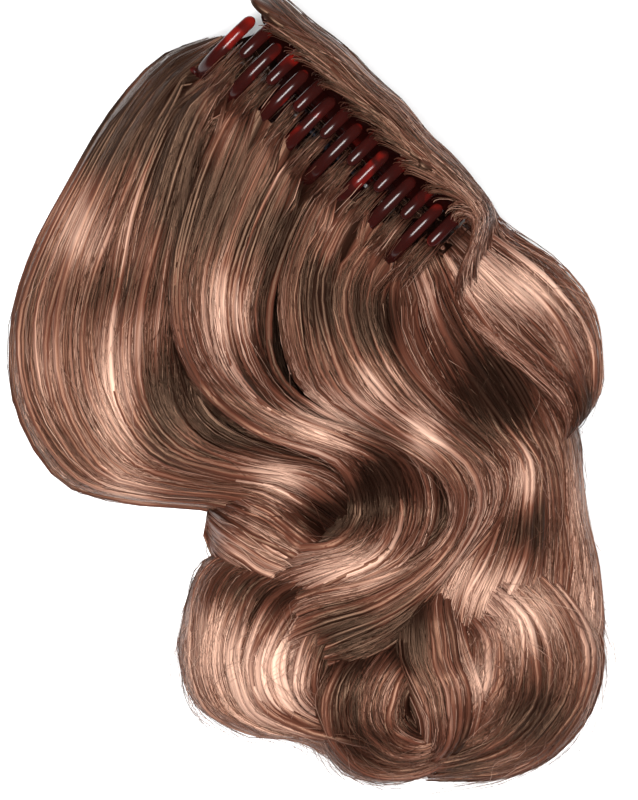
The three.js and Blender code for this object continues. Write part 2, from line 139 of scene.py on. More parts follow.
# The fall's swathes, a row for each station along one: near edge and far edge as shares of the fall's
# width, length and height
SWATHES = {
    "left_sweep": [
        (0.370, 0.015, 0.80, 0.380, 0.100, 0.95),
        (0.256, 0.045, 0.60, 0.330, 0.140, 0.90),
        (0.165, 0.118, 0.44, 0.300, 0.200, 0.84),
        (0.089, 0.216, 0.38, 0.280, 0.270, 0.82),
        (0.027, 0.308, 0.35, 0.265, 0.345, 0.74),
        (-0.007, 0.405, 0.28, 0.255, 0.425, 0.62),
        (0.004, 0.513, 0.24, 0.270, 0.500, 0.52),
        (0.080, 0.603, 0.26, 0.325, 0.550, 0.50),
        (0.200, 0.630, 0.20, 0.415, 0.575, 0.42),
        (0.330, 0.640, 0.14, 0.510, 0.590, 0.34),
        (0.425, 0.670, 0.14, 0.570, 0.625, 0.28),
        (0.510, 0.700, 0.12, 0.610, 0.665, 0.22),
    ],
    "centre_wave": [
        (0.380, 0.100, 0.95, 0.495, 0.190, 0.96),
        (0.310, 0.225, 0.84, 0.430, 0.295, 0.90),
        (0.270, 0.330, 0.80, 0.400, 0.380, 0.85),
        (0.275, 0.415, 0.71, 0.420, 0.460, 0.73),
        (0.320, 0.485, 0.55, 0.490, 0.515, 0.58),
        (0.415, 0.540, 0.60, 0.590, 0.540, 0.62),
        (0.540, 0.575, 0.49, 0.675, 0.575, 0.53),
        (0.580, 0.635, 0.33, 0.700, 0.640, 0.38),
        (0.545, 0.680, 0.40, 0.665, 0.705, 0.46),
        (0.470, 0.690, 0.33, 0.575, 0.745, 0.40),
        (0.390, 0.705, 0.30, 0.520, 0.775, 0.42),
        (0.325, 0.750, 0.24, 0.470, 0.810, 0.42),
    ],
    "outer_wave": [
        (0.520, 0.215, 0.96, 0.665, 0.295, 0.95),
        (0.465, 0.315, 0.88, 0.610, 0.365, 0.82),
        (0.450, 0.390, 0.82, 0.630, 0.435, 0.75),
        (0.475, 0.470, 0.73, 0.690, 0.500, 0.73),
        (0.555, 0.520, 0.60, 0.760, 0.545, 0.62),
        (0.655, 0.555, 0.55, 0.820, 0.590, 0.60),
        (0.730, 0.600, 0.58, 0.815, 0.645, 0.53),
        (0.740, 0.660, 0.42, 0.760, 0.705, 0.40),
        (0.680, 0.710, 0.46, 0.705, 0.760, 0.35),
        (0.590, 0.740, 0.46, 0.650, 0.805, 0.38),
        (0.500, 0.755, 0.47, 0.575, 0.835, 0.44),
        (0.420, 0.790, 0.46, 0.510, 0.850, 0.44),
        (0.385, 0.840, 0.42, 0.480, 0.880, 0.40),
        (0.400, 0.885, 0.34, 0.490, 0.905, 0.34),
    ],
    "right_fall": [
        (0.650, 0.315, 0.92, 0.735, 0.295, 0.84),
        (0.640, 0.385, 0.80, 0.845, 0.410, 0.58),
        (0.670, 0.455, 0.62, 0.925, 0.485, 0.42),
        (0.735, 0.515, 0.50, 0.960, 0.545, 0.30),
        (0.810, 0.570, 0.46, 0.965, 0.595, 0.32),
        (0.800, 0.640, 0.42, 0.975, 0.655, 0.26),
        (0.760, 0.700, 0.33, 0.995, 0.725, 0.24),
        (0.720, 0.760, 0.36, 1.000, 0.810, 0.22),
        (0.705, 0.825, 0.36, 0.960, 0.905, 0.19),
        (0.745, 0.915, 0.28, 0.870, 0.980, 0.14),
    ],
    "right_lobe": [
        (0.680, 0.295, 0.92, 0.750, 0.240, 0.74),
        (0.745, 0.370, 0.78, 0.830, 0.270, 0.56),
        (0.805, 0.430, 0.66, 0.915, 0.315, 0.44),
        (0.870, 0.470, 0.55, 0.975, 0.370, 0.38),
        (0.920, 0.505, 0.46, 0.995, 0.430, 0.32),
        (0.935, 0.540, 0.36, 0.990, 0.495, 0.26),
        (0.895, 0.585, 0.26, 0.925, 0.555, 0.24),
    ],
    "under_lock": [
        (0.318, 0.675, 0.12, 0.332, 0.612, 0.16),
        (0.345, 0.712, 0.19, 0.395, 0.622, 0.28),
        (0.400, 0.738, 0.23, 0.460, 0.650, 0.33),
        (0.470, 0.755, 0.23, 0.520, 0.682, 0.33),
        (0.545, 0.765, 0.18, 0.585, 0.710, 0.26),
    ],
    "lower_curl": [
        (0.400, 0.685, 0.30, 0.615, 0.760, 0.40),
        (0.321, 0.712, 0.24, 0.545, 0.785, 0.46),
        (0.290, 0.775, 0.24, 0.505, 0.825, 0.47),
        (0.280, 0.835, 0.23, 0.495, 0.870, 0.43),
        (0.310, 0.900, 0.21, 0.520, 0.900, 0.38),
        (0.390, 0.935, 0.20, 0.570, 0.920, 0.35),
        (0.480, 0.945, 0.19, 0.640, 0.940, 0.32),
        (0.570, 0.985, 0.14, 0.705, 0.955, 0.24),
    ],
    "end_ball": [
        (0.620, 0.740, 0.20, 0.790, 0.745, 0.20),
        (0.545, 0.810, 0.35, 0.720, 0.810, 0.35),
        (0.500, 0.875, 0.38, 0.670, 0.855, 0.40),
        (0.510, 0.940, 0.31, 0.645, 0.895, 0.40),
        (0.570, 0.990, 0.20, 0.655, 0.925, 0.38),
        (0.650, 1.000, 0.18, 0.690, 0.940, 0.33),
        (0.740, 0.975, 0.20, 0.720, 0.930, 0.31),
        (0.790, 0.915, 0.22, 0.740, 0.890, 0.29),
    ],
    "end_heart": [
        (0.700, 0.690, 0.24, 0.775, 0.690, 0.28),
        (0.660, 0.760, 0.33, 0.750, 0.765, 0.35),
        (0.658, 0.830, 0.37, 0.765, 0.825, 0.37),
        (0.685, 0.890, 0.38, 0.790, 0.880, 0.38),
        (0.695, 0.945, 0.32, 0.775, 0.945, 0.32),
        (0.660, 0.985, 0.22, 0.735, 0.990, 0.20),
    ],
    "right_end": [
        (0.690, 0.745, 0.22, 0.760, 0.640, 0.26),
        (0.745, 0.775, 0.37, 0.860, 0.680, 0.37),
        (0.780, 0.805, 0.41, 0.950, 0.740, 0.30),
        (0.785, 0.840, 0.40, 0.998, 0.815, 0.26),
        (0.775, 0.880, 0.38, 0.985, 0.895, 0.24),
        (0.755, 0.910, 0.34, 0.930, 0.955, 0.20),
        (0.725, 0.930, 0.30, 0.855, 0.988, 0.16),
        (0.690, 0.945, 0.24, 0.780, 0.998, 0.13),
        (0.645, 0.955, 0.20, 0.700, 1.000, 0.12),
    ],
    "under_clip": [
        (0.345, 0.040, 0.085, 0.430, 0.014, 0.055),
        (0.385, 0.125, 0.090, 0.490, 0.048, 0.055),
        (0.460, 0.185, 0.090, 0.565, 0.084, 0.055),
        (0.540, 0.250, 0.090, 0.635, 0.134, 0.055),
        (0.620, 0.295, 0.090, 0.690, 0.179, 0.055),
        (0.700, 0.325, 0.090, 0.745, 0.234, 0.055),
        (0.770, 0.335, 0.090, 0.800, 0.279, 0.055),
    ],
}

# How each swathe is combed. Its tips draw together by the share gather. Of its near and far edge, round
# says which turn down to the floor, and under how far each goes on under its neighbours, as a share of the
# width. Its start lies emerge millimetres under its neighbours, up to a share of its length, and its end
# sinks by that much, from a share on.
COMBS = ("locks", "locklets", "strands", "steps", "gather", "under", "round", "emerge", "sink")
COMBING = {
    "left_sweep": (10, 34, 800, 24, 0.25, (0, 0.35), (1, 0), (0, 1), (4, 0.85)),
    "centre_wave": (9, 26, 580, 26, 0.3, (0.25, 0.35), (0, 0), (0, 1), (8, 0.8)),
    "outer_wave": (9, 26, 600, 28, 0.3, (0.45, 0.3), (0, 0), (0, 1), (13, 0.7)),
    "right_fall": (8, 26, 560, 23, 0.3, (0.3, 0), (0, 1), (0, 1), (6, 0.6)),
    "right_lobe": (6, 16, 400, 19, 0.2, (0.3, 0), (0, 1), (0, 1), (4, 0.8)),
    "under_lock": (3, 8, 170, 16, 0.2, (0, 0.3), (1, 0), (8, 0.3), (9, 0.6)),
    "lower_curl": (8, 24, 570, 22, 0.2, (0, 0.35), (1, 0), (6, 0.25), (3, 0.85)),
    "end_ball": (6, 14, 320, 20, 0.4, (0, 0.35), (1, 0), (11, 0.3), (2, 0.85)),
    "end_heart": (4, 9, 180, 16, 0.3, (0.25, 0.25), (0, 0), (7, 0.32), (5, 0.7)),
    "right_end": (6, 14, 330, 17, 0.5, (0.3, 0), (0, 1), (11, 0.3), (2, 0.85)),
    "under_clip": (5, 0, 220, 12, 0.0, (0.3, 0), (0, 1), (0, 1), (0, 0.9)),
}
STRAND_PIECES = {
    "strands_left_sweep": ("left_sweep",),
    "strands_centre_wave": ("centre_wave",),
    "strands_outer_wave": ("outer_wave",),
    "strands_right_side": ("right_fall", "right_lobe"),
    "strands_lower_curl": ("lower_curl", "under_lock"),
    "strands_ends": ("end_ball", "end_heart", "right_end"),
    "strands_under_clip": ("under_clip",),
}

# Places on the fall with painted highlights and painted shade: across, down, reach across, reach down, how
# much lighter
PAINTED_LIGHT_PATCHES = [
    (0.115, 0.28, 0.045, 0.055, 0.36),
    (0.05, 0.46, 0.040, 0.070, 0.18),
    (0.17, 0.50, 0.045, 0.090, 0.30),
    (0.20, 0.61, 0.050, 0.035, 0.26),
    (0.36, 0.155, 0.035, 0.035, 0.22),
    (0.45, 0.22, 0.028, 0.038, 0.24),
    (0.37, 0.37, 0.045, 0.060, 0.40),
    (0.52, 0.52, 0.060, 0.040, 0.44),
    (0.45, 0.60, 0.035, 0.030, 0.34),
    (0.61, 0.47, 0.032, 0.040, 0.30),
    (0.695, 0.54, 0.032, 0.040, 0.38),
    (0.58, 0.715, 0.080, 0.028, 0.34),
    (0.86, 0.35, 0.085, 0.040, 0.44),
    (0.775, 0.33, 0.040, 0.035, 0.40),
    (0.69, 0.37, 0.028, 0.050, 0.28),
    (0.53, 0.29, 0.018, 0.040, 0.34),
    (0.61, 0.30, 0.014, 0.040, 0.26),
    (0.43, 0.85, 0.070, 0.060, 0.46),
    (0.33, 0.81, 0.030, 0.070, 0.26),
    (0.865, 0.775, 0.060, 0.045, 0.48),
    (0.78, 0.74, 0.045, 0.035, 0.34),
    (0.78, 0.86, 0.035, 0.030, 0.30),
    (0.98, 0.80, 0.020, 0.080, 0.28),
    (0.86, 0.60, 0.028, 0.040, 0.30),
    (0.96, 0.64, 0.020, 0.050, 0.20),
    (0.94, 0.42, 0.030, 0.040, 0.14),
    (0.275, 0.16, 0.032, 0.120, -0.80),
    (0.345, 0.25, 0.045, 0.050, -0.34),
    (0.45, 0.285, 0.028, 0.030, -0.44),
    (0.175, 0.35, 0.070, 0.028, -0.34),
    (0.165, 0.15, 0.050, 0.040, -0.50),
    (0.255, 0.50, 0.035, 0.060, -0.60),
    (0.34, 0.54, 0.040, 0.035, -0.30),
    (0.52, 0.355, 0.028, 0.035, -0.52),
    (0.61, 0.40, 0.040, 0.040, -0.46),
    (0.62, 0.61, 0.040, 0.035, -0.80),
    (0.55, 0.65, 0.050, 0.026, -0.50),
    (0.81, 0.49, 0.055, 0.045, -0.62),
    (0.865, 0.665, 0.035, 0.030, -0.42),
    (0.67, 0.80, 0.030, 0.050, -0.55),
    (0.57, 0.80, 0.060, 0.032, -0.62),
    (0.56, 0.875, 0.040, 0.050, -0.20),
    (0.88, 0.91, 0.055, 0.035, -0.34),
    (0.97, 0.52, 0.035, 0.050, -0.30),
    (0.39, 0.745, 0.070, 0.018, -0.26),
    (0.60, 0.94, 0.050, 0.035, -0.22),
    (0.76, 0.97, 0.040, 0.030, -0.24),
]

# Single hairs that stand off each swathe, and how far their ends sway, in millimetres
FLYAWAY_SWAY = 2.4
FRIZZY_SWAY = 4.2
MOST_SWAY = 5
FLYAWAYS = {"left_sweep": 70, "centre_wave": 60, "outer_wave": 70, "right_fall": 110, "right_lobe": 60,
            "lower_curl": 160, "end_ball": 140, "right_end": 250}

# The curls at the ends, whose hairs stand off most
FRIZZY = ("lower_curl", "end_ball", "right_end")

# The layers of hair on the floor, as shares of the fall's width and length
BACKING_OUTLINE = [
    (0.305, 0.075), (0.225, 0.160), (0.155, 0.260), (0.085, 0.355), (0.045, 0.435), (0.060, 0.530),
    (0.140, 0.595), (0.280, 0.610), (0.365, 0.640), (0.360, 0.690), (0.335, 0.745), (0.315, 0.810),
    (0.340, 0.890), (0.440, 0.915), (0.545, 0.945), (0.655, 0.975), (0.745, 0.945), (0.830, 0.965),
    (0.925, 0.905), (0.965, 0.810), (0.960, 0.725), (0.935, 0.635), (0.925, 0.555), (0.955, 0.485),
    (0.955, 0.415), (0.895, 0.345), (0.805, 0.285), (0.720, 0.260), (0.540, 0.250), (0.390, 0.135),
]
UNDERLAY_OUTLINE = [
    (0.425, 0.010), (0.490, 0.045), (0.565, 0.080), (0.635, 0.130), (0.690, 0.175), (0.740, 0.230),
    (0.790, 0.270), (0.770, 0.315), (0.690, 0.330), (0.540, 0.250), (0.380, 0.135), (0.330, 0.075),
    (0.365, 0.025),
]

# Strands on the jaw that opens: along the clip, and degrees round its curve for the near and far edge
COVER_RUN = [(-46, 150, 88), (-30, 152, 86), (-10, 152, 85), (12, 151, 86), (32, 149, 88), (45, 146, 92)]

# How thick that hair lies on the jaw: along the clip, and outwards, in millimetres
COVER_DEPTHS = [(-47, 0.7), (-42, 1.3), (-28, 2.9), (-13, 4.2), (8, 4.4), (28, 3.2), (46, 2.8)]


def colour(text):
    """A linear colour with full opacity from sRGB hex."""
    parts = [int(text[i:i + 2], 16) / 255 for i in (1, 3, 5)]
    return (*(p / 12.92 if p <= 0.04045 else ((p + 0.055) / 1.055) ** 2.4 for p in parts), 1.0)


def size(name, description, default):
    """A length in metres."""
    return FloatProperty(name=name, description=description, default=default, unit="LENGTH")


def tone(name, description, text):
    """A colour from sRGB hex."""
    return FloatVectorProperty(name=name, description=description, subtype="COLOR", size=3,
                               default=colour(text)[:3])


class PonytailClip(bpy.types.PropertyGroup):
    """Sizes of the claw clip."""

    length: size("Length", "Length of the clip", 0.092)
    radius: size("Radius", "Outside of the curved jaws", 0.0165)
    rise: size("Rise", "From the hinge to the jaws' middle", 0.015)
    wall: size("Wall", "Thickness of a jaw's plate", 0.0026)
    teeth: IntProperty(name="Teeth", description="Teeth on each jaw", default=8, min=2)
    pitch: size("Pitch", "From tooth to tooth", 0.0113)
    tooth_width: size("Tooth width", "Along the clip", 0.0044)
    tooth_depth: size("Tooth depth", "Through a tooth", 0.0028)
    pin_radius: size("Pin radius", "Of the hinge pin", 0.0015)
    lug_radius: size("Lug radius", "Round the hinge pin", 0.0038)
    tab_length: size("Tab length", "Of each thumb tab", 0.012)
    tab_width: size("Tab width", "Of each thumb tab", 0.036)


class PonytailHair(bpy.types.PropertyGroup):
    """Sizes of the hair."""

    width: size("Width", "Across the fall", 0.181)
    length: size("Length", "From the clip to the tips", 0.235)
    height: size("Height", "Where it leaves the clip", 0.048)
    strand: size("Strand", "Thickness of a drawn strand", 0.00026)
    crown: size("Crown", "Rise of a lock's crest", 0.0034)
    arch: size("Arch", "Rise of a swathe's middle", 0.003)
    seed: IntProperty(name="Seed", description="Chooses how the strands wander", default=7)


class PonytailColours(bpy.types.PropertyGroup):
    """Colours of the hair and the clip."""

    deep: tone("Deep brown", "Shaded hair", "#190a06")
    brown: tone("Brown", "Main colour of the hair", "#563024")
    caramel: tone("Caramel", "Light strands", "#d8b19c")
    acetate: tone("Acetate", "Clip plastic", "#240a08")


class PonytailStudio(bpy.types.PropertyGroup):
    """Light and camera."""

    key: FloatProperty(name="Strip light", description="Power of the strip overhead", default=39.0)
    fill: FloatProperty(name="Surroundings", description="Brightness of the room", default=0.07)
    distance: size("Camera height", "Above the hair", 1.2)


def add_node(tree, kind, settings=None, values=None, links=None):
    """Adds a node with its settings, its sockets' values and the sockets that feed it."""
    made = tree.nodes.new(kind)
    for name, value in (settings or {}).items():
        setattr(made, name, value)
    for name, value in (values or {}).items():
        made.inputs[name].default_value = value
    for name, source in (links or {}).items():
        tree.links.new(source, made.inputs[name])
    return made


def new_material(name, values):
    """A material with a Principled shader on its output, and the shader's own values."""
    material = bpy.data.materials.new(name)
    material.use_nodes = True
    tree = material.node_tree
    tree.nodes.clear()
    shader = add_node(tree, "ShaderNodeBsdfPrincipled", values=values)
    add_node(tree, "ShaderNodeOutputMaterial", links={"Surface": shader.outputs["BSDF"]})
    return material, tree, shader


def set_stops(ramp, stops):
    """Gives a colour ramp its stops, as places and linear colours."""
    elements = ramp.color_ramp.elements
    while len(elements) > 1:
        elements.remove(elements[-1])
    elements[0].position, elements[0].color = stops[0]
    for place, shade in stops[1:]:
        elements.new(place).color = shade


def smooth_step(value, start, end):
    """From 0 at start to 1 at end, easing at both."""
    share = np.clip((value - start) / (end - start), 0, 1)
    return share * share * (3 - 2 * share)


def clip_matrix():
    """From the clip's own frame, at its hinge, to the row frame."""
    return Matrix.Translation(CLIP_PLACE) @ Matrix.Rotation(-math.radians(CLIP_TILT), 4, "X")


def on_curve(side, degrees, radius, along):
    """Points on a jaw's curve in the clip's frame, by degrees from straight down."""
    angle = np.radians(degrees)
    rise = bpy.context.scene.ponytail_clip.rise
    return np.stack(np.broadcast_arrays(along, side * radius * np.sin(angle), rise - radius * np.cos(angle)),
                    axis=-1)


def to_row(points):
    """Points in the clip's frame, turned and moved to the row frame."""
    place = np.array(clip_matrix())
    return points @ place[:3, :3].T + place[:3, 3]


def path_length(points):
    """How long the line through some points is."""
    return np.linalg.norm(np.diff(points, axis=0), axis=1).sum()


def on_fall(rows):
    """Rows of across, down and height shares as points in the row frame."""
    hair = bpy.context.scene.ponytail_hair
    rows = np.asarray(rows, float)
    across = (rows[..., 0] - CLIP_ACROSS) * hair.width
    down = (rows[..., 1] - CLIP_DOWN) * hair.length
    turn = math.radians(FALL_TURN)
    x = CLIP_PLACE[0] + across * math.cos(turn) + down * math.sin(turn)
    y = CLIP_PLACE[1] + across * math.sin(turn) - down * math.cos(turn)
    return np.stack([x, y, rows[..., 2] * hair.height], axis=-1)


def along_curve(points, t):
    """Points at shares t of a smooth curve through the given points."""
    padded = np.vstack([2 * points[0] - points[1], points, 2 * points[-1] - points[-2]])
    place = np.clip(t, 0, 1) * (len(points) - 1)
    first = np.minimum(place.astype(int), len(points) - 2)
    u = (place - first)[..., None]
    p0, p1, p2, p3 = (padded[first + k] for k in range(4))
    return 0.5 * (2 * p1 + (p2 - p0) * u + (2 * p0 - 5 * p1 + 4 * p2 - p3) * u ** 2
                  + (3 * p1 - p0 - 3 * p2 + p3) * u ** 3)


def link_object(name, data):
    """An object at the origin of the scene."""
    made = bpy.data.objects.new(name, data)
    bpy.context.scene.collection.objects.link(made)
    return made


def link_mesh(bm, name, material, sharp=None):
    """Turns a bmesh into an object at the origin."""
    mesh = bpy.data.meshes.new(name)
    bm.to_mesh(mesh)
    bm.free()
    mesh.materials.append(material)
    made = link_object(name, mesh)
    mesh.shade_smooth()
    if sharp:
        mesh.set_sharp_from_angle(angle=math.radians(sharp))
    return made


def added_points(grown):
    """The points that an extrusion added."""
    return [v for v in grown["geom"] if isinstance(v, bmesh.types.BMVert)]


def add_plate(bm, points, height):
    """Adds a flat plate that rises from its outline."""
    face = bm.faces.new([bm.verts.new(point) for point in points])
    grown = bmesh.ops.extrude_face_region(bm, geom=[face])
    bmesh.ops.translate(bm, vec=(0, 0, height), verts=added_points(grown))


def round_off(bm, edges, offset, segments):
    """Rounds edges off."""
    bmesh.ops.bevel(bm, geom=edges, offset=offset, affect="EDGES", segments=segments, profile=0.5,
                    material=-1)


def blank_bar(bm, sides, rings, place):
    """Adds a capped bar and bends it.

    place(x, t, y) takes arrays: x and y on the unit circle, and t, how far up. It gives where they go.
    """
    before = len(bm.verts)
    bmesh.ops.create_cone(bm, cap_ends=True, segments=sides, radius1=1, radius2=1, depth=1)
    bm.verts.ensure_lookup_table()
    uprights = {e for v in bm.verts[before:] for e in v.link_edges
                if abs(e.verts[0].co.z - e.verts[1].co.z) > 0.5}
    bmesh.ops.subdivide_edges(bm, edges=list(uprights), cuts=rings - 1)
    bm.verts.ensure_lookup_table()
    verts = bm.verts[before:]
    unit = np.array([v.co for v in verts])
    x, t, y = unit[:, 0], unit[:, 2] + 0.5, unit[:, 1]
    for v, point in zip(verts, place(x, t, y)):
        v.co = point
    return x, t, y


def tooth_bar(side, along):
    """One blunt tooth that curves over the top of the clip."""
    clip = bpy.context.scene.ponytail_clip
    start = SHELL_TO - TOOTH_ROOT
    end = 180 + TOOTH_OVERREACH
    middle = clip.radius - clip.tooth_depth / 2

    def place(across, t, out):
        share = np.sin(t * math.pi / 2) ** 0.9
        closing = np.clip((share - 1 + TOOTH_TIP) / TOOTH_TIP, 0, 1)
        narrow = (1 - TOOTH_TAPER * share) * np.sqrt(np.maximum(0.004, 1 - closing ** 2.2))
        radius = middle + out * narrow * clip.tooth_depth / 2
        return on_curve(side, start + (end - start) * share, radius,
                        along + across * narrow * clip.tooth_width / 2)

    bm = bmesh.new()
    blank_bar(bm, 18, 32, place)
    bmesh.ops.recalc_face_normals(bm, faces=bm.faces[:])
    return bm


def jaw_plate(side):
    """The curved plate, cut to its outline, with rounded rims."""
    clip = bpy.context.scene.ponytail_clip
    half = clip.length / 2
    bm = bmesh.new()
    bmesh.ops.create_grid(bm, x_segments=46, y_segments=14, size=0.5)
    for v in bm.verts:
        degrees = SHELL_FROM + (SHELL_TO - SHELL_FROM) * (v.co.y + 0.5)
        v.co = on_curve(side, degrees, clip.radius, v.co.x * clip.length)
    for end in (-1, 1):
        outline = [Vector((end * along * half, 0, up * clip.rise)) for along, up in JAW_OUTLINE]
        for here, there in zip(outline, outline[1:]):
            outwards = (there - here).cross(Vector((0, end, 0)))
            outwards *= 1 if outwards.x * end > 0 else -1
            bmesh.ops.bisect_plane(bm, geom=bm.verts[:] + bm.edges[:] + bm.faces[:], dist=1e-6,
                                   plane_co=here, plane_no=outwards, clear_outer=True)
    for v in added_points(bmesh.ops.extrude_face_region(bm, geom=bm.faces[:])):
        out = Vector((0, v.co.y, v.co.z - clip.rise)).normalized()
        v.co -= out * clip.wall
    bmesh.ops.recalc_face_normals(bm, faces=bm.faces[:])
    rims = [e for e in bm.edges if e.is_manifold and e.calc_face_angle() > math.radians(50)]
    round_off(bm, rims, RIM_ROUNDING, 3)
    return bm


def thumb_tab(side):
    """The splayed thumb tab, with rounded corners and rims."""
    clip = bpy.context.scene.ponytail_clip
    splay = math.radians(TAB_SPLAY)
    corner = clip.tab_length / 3
    half = clip.tab_width / 2
    bm = bmesh.new()
    rim = [(-half - corner, 0), (half + corner, 0), (half, clip.tab_length), (-half, clip.tab_length)]
    add_plate(bm, [(x, y, -clip.wall / 2) for x, y in rim], clip.wall)
    bmesh.ops.recalc_face_normals(bm, faces=bm.faces[:])
    corners = [e for e in bm.edges if abs(e.verts[0].co.z - e.verts[1].co.z) > clip.wall / 2
               and e.verts[0].co.y > corner]
    round_off(bm, corners, corner, 6)
    rims = [e for e in bm.edges if abs(e.verts[0].co.z - e.verts[1].co.z) < 1e-6
            and min(v.co.y for v in e.verts) > -1e-6 and max(v.co.y for v in e.verts) > 1e-6
            and len({round(f.normal.z, 2) for f in e.link_faces}) > 1]
    round_off(bm, rims, RIM_ROUNDING, 2)
    along = Vector((1, 0, 0))
    outwards = Vector((0, side * math.sin(splay), -math.cos(splay)))
    turn = Matrix((along, outwards, along.cross(outwards))).transposed().to_4x4()
    root = on_curve(side, SHELL_FROM, clip.radius - clip.wall / 2, 0)
    bm.transform(Matrix.Translation(Vector(root)) @ turn)
    return bm


def cylinder(radius, length, rounding=0):
    """A bar along the hinge, with rounded rims if asked for."""
    bm = bmesh.new()
    bmesh.ops.create_cone(bm, cap_ends=True, segments=32, radius1=radius, radius2=radius, depth=length)
    if rounding:
        rims = [e for e in bm.edges if abs(e.verts[0].co.z - e.verts[1].co.z) < 1e-9]
        round_off(bm, rims, rounding, 2)
    bmesh.ops.rotate(bm, verts=bm.verts[:], matrix=Matrix.Rotation(math.pi / 2, 3, "Y"))
    return bm


def hinge_lugs(side):
    """The knuckles round the pin and the webs that carry them, each a closed form."""
    clip = bpy.context.scene.ponytail_clip
    start = LUG_START if side < 0 else LUG_START + LUG_LENGTH + LUG_GAP
    reach = on_curve(side, SHELL_FROM, clip.radius - clip.wall / 2, 0)[1]
    made = []
    for end in (-1, 1):
        centre = end * (start + LUG_LENGTH / 2)
        bm = cylinder(clip.lug_radius, LUG_LENGTH, LUG_ROUNDING)
        bmesh.ops.translate(bm, verts=bm.verts[:], vec=(centre, 0, 0))
        made.append(bm)
        bm = bmesh.new()
        bmesh.ops.create_cube(bm, size=1)
        bmesh.ops.scale(bm, verts=bm.verts[:], vec=(LUG_LENGTH, abs(reach), WEB_HEIGHT))
        bmesh.ops.translate(bm, verts=bm.verts[:], vec=(centre, reach / 2, 0))
        made.append(bm)
    return made


def pin_bore():
    """What is drilled out of the lugs."""
    clip = bpy.context.scene.ponytail_clip
    return cylinder(clip.pin_radius + BORE_CLEARANCE, 2 * clip.length)


def fuse(name, parts, bore, material):
    """Joins closed forms into one solid, drills the bore and returns the object."""
    objects = [link_mesh(bm, f"{name}_part_{i}", material) for i, bm in enumerate([*parts, bore])]
    whole, others, drill = objects[0], objects[1:-1], objects[-1]
    for operation, tools in (("UNION", others), ("DIFFERENCE", [drill])):
        for tool in tools:
            cut = whole.modifiers.new(operation, "BOOLEAN")
            cut.operation = operation
            cut.solver = "EXACT"
            cut.object = tool
    bpy.context.view_layer.update()
    evaluated = whole.evaluated_get(bpy.context.evaluated_depsgraph_get())
    mesh = bpy.data.meshes.new_from_object(evaluated)
    for part in objects:
        bpy.data.objects.remove(part)
    bm = bmesh.new()
    bm.from_mesh(mesh)
    bpy.data.meshes.remove(mesh)
    bmesh.ops.remove_doubles(bm, verts=bm.verts[:], dist=1e-6)
    bmesh.ops.dissolve_degenerate(bm, edges=bm.edges[:], dist=1e-6)
    local = np.array([v.co for v in bm.verts])
    bm.transform(clip_matrix())
    made = link_mesh(bm, name, material, sharp=35)
    keep_glow(made.data, local)
    return made


def keep_glow(mesh, local):
    """Stores where light shining through a tooth is painted into its colour: near its end, on some teeth more
    than on others.
    """
    clip = bpy.context.scene.ponytail_clip
    side = np.where(local[:, 1] > 0, 1, -1)
    turned = np.degrees(np.arctan2(np.abs(local[:, 1]), clip.rise - local[:, 2]))
    above = local[:, 2] > clip.rise + 0.5 * clip.radius
    uneven = 0.45 + 0.40 * np.sin(local[:, 0] / clip.pitch * 2.4 + side)
    first = local[:, 0] < -0.43 * clip.length
    level = above * (smooth_step(turned, 120, 160) * uneven + 0.7 * smooth_step(turned, 105, 150) * first)
    mesh.attributes.new("glow", "FLOAT", "POINT").data.foreach_set("value", level.astype(np.float32))


def drift(t, seeds, cycles):
    """Smooth wandering between about -1 and 1 along t, each row by its own seeds."""
    total = 0.0
    for k, (share, rate) in enumerate(((0.6, 1.0), (0.32, 2.1), (0.16, 3.9))):
        pace = cycles * rate * (0.7 + 0.6 * seeds[:, k, None])
        total = total + share * np.sin(TURN * (pace * t + seeds[:, 3 + k, None]))
    return total


def first_gap(clip):
    """Where along the clip the first gap between the still jaw's teeth lies."""
    return -(clip.teeth - 0.5) * clip.pitch / 2 + clip.pitch / 2


def between_teeth(paths):
    """Where hair leaves the jaw that stays still, it gathers into the gaps between the teeth."""
    clip = bpy.context.scene.ponytail_clip
    local = paths - np.array(CLIP_PLACE)
    tilt = math.radians(CLIP_TILT)
    y = local[..., 1] * math.cos(tilt) - local[..., 2] * math.sin(tilt)
    z = local[..., 1] * math.sin(tilt) + local[..., 2] * math.cos(tilt)
    reach = np.hypot(y, z - clip.rise)
    x = local[..., 0]
    inside = (np.abs(x) < clip.length / 2 + clip.pitch / 2) & (z > clip.rise * 0.7)
    pull = (1 - smooth_step(reach, clip.radius + 0.001, clip.radius + 0.009)) * inside
    first = first_gap(clip)
    gap = first + np.round((x - first) / clip.pitch) * clip.pitch
    room = (clip.pitch - clip.tooth_width) / clip.pitch * 0.92
    moved = x + pull * (gap + (x - gap) * room - x)
    return np.concatenate([(moved + CLIP_PLACE[0])[..., None], paths[..., 1:]], axis=-1)


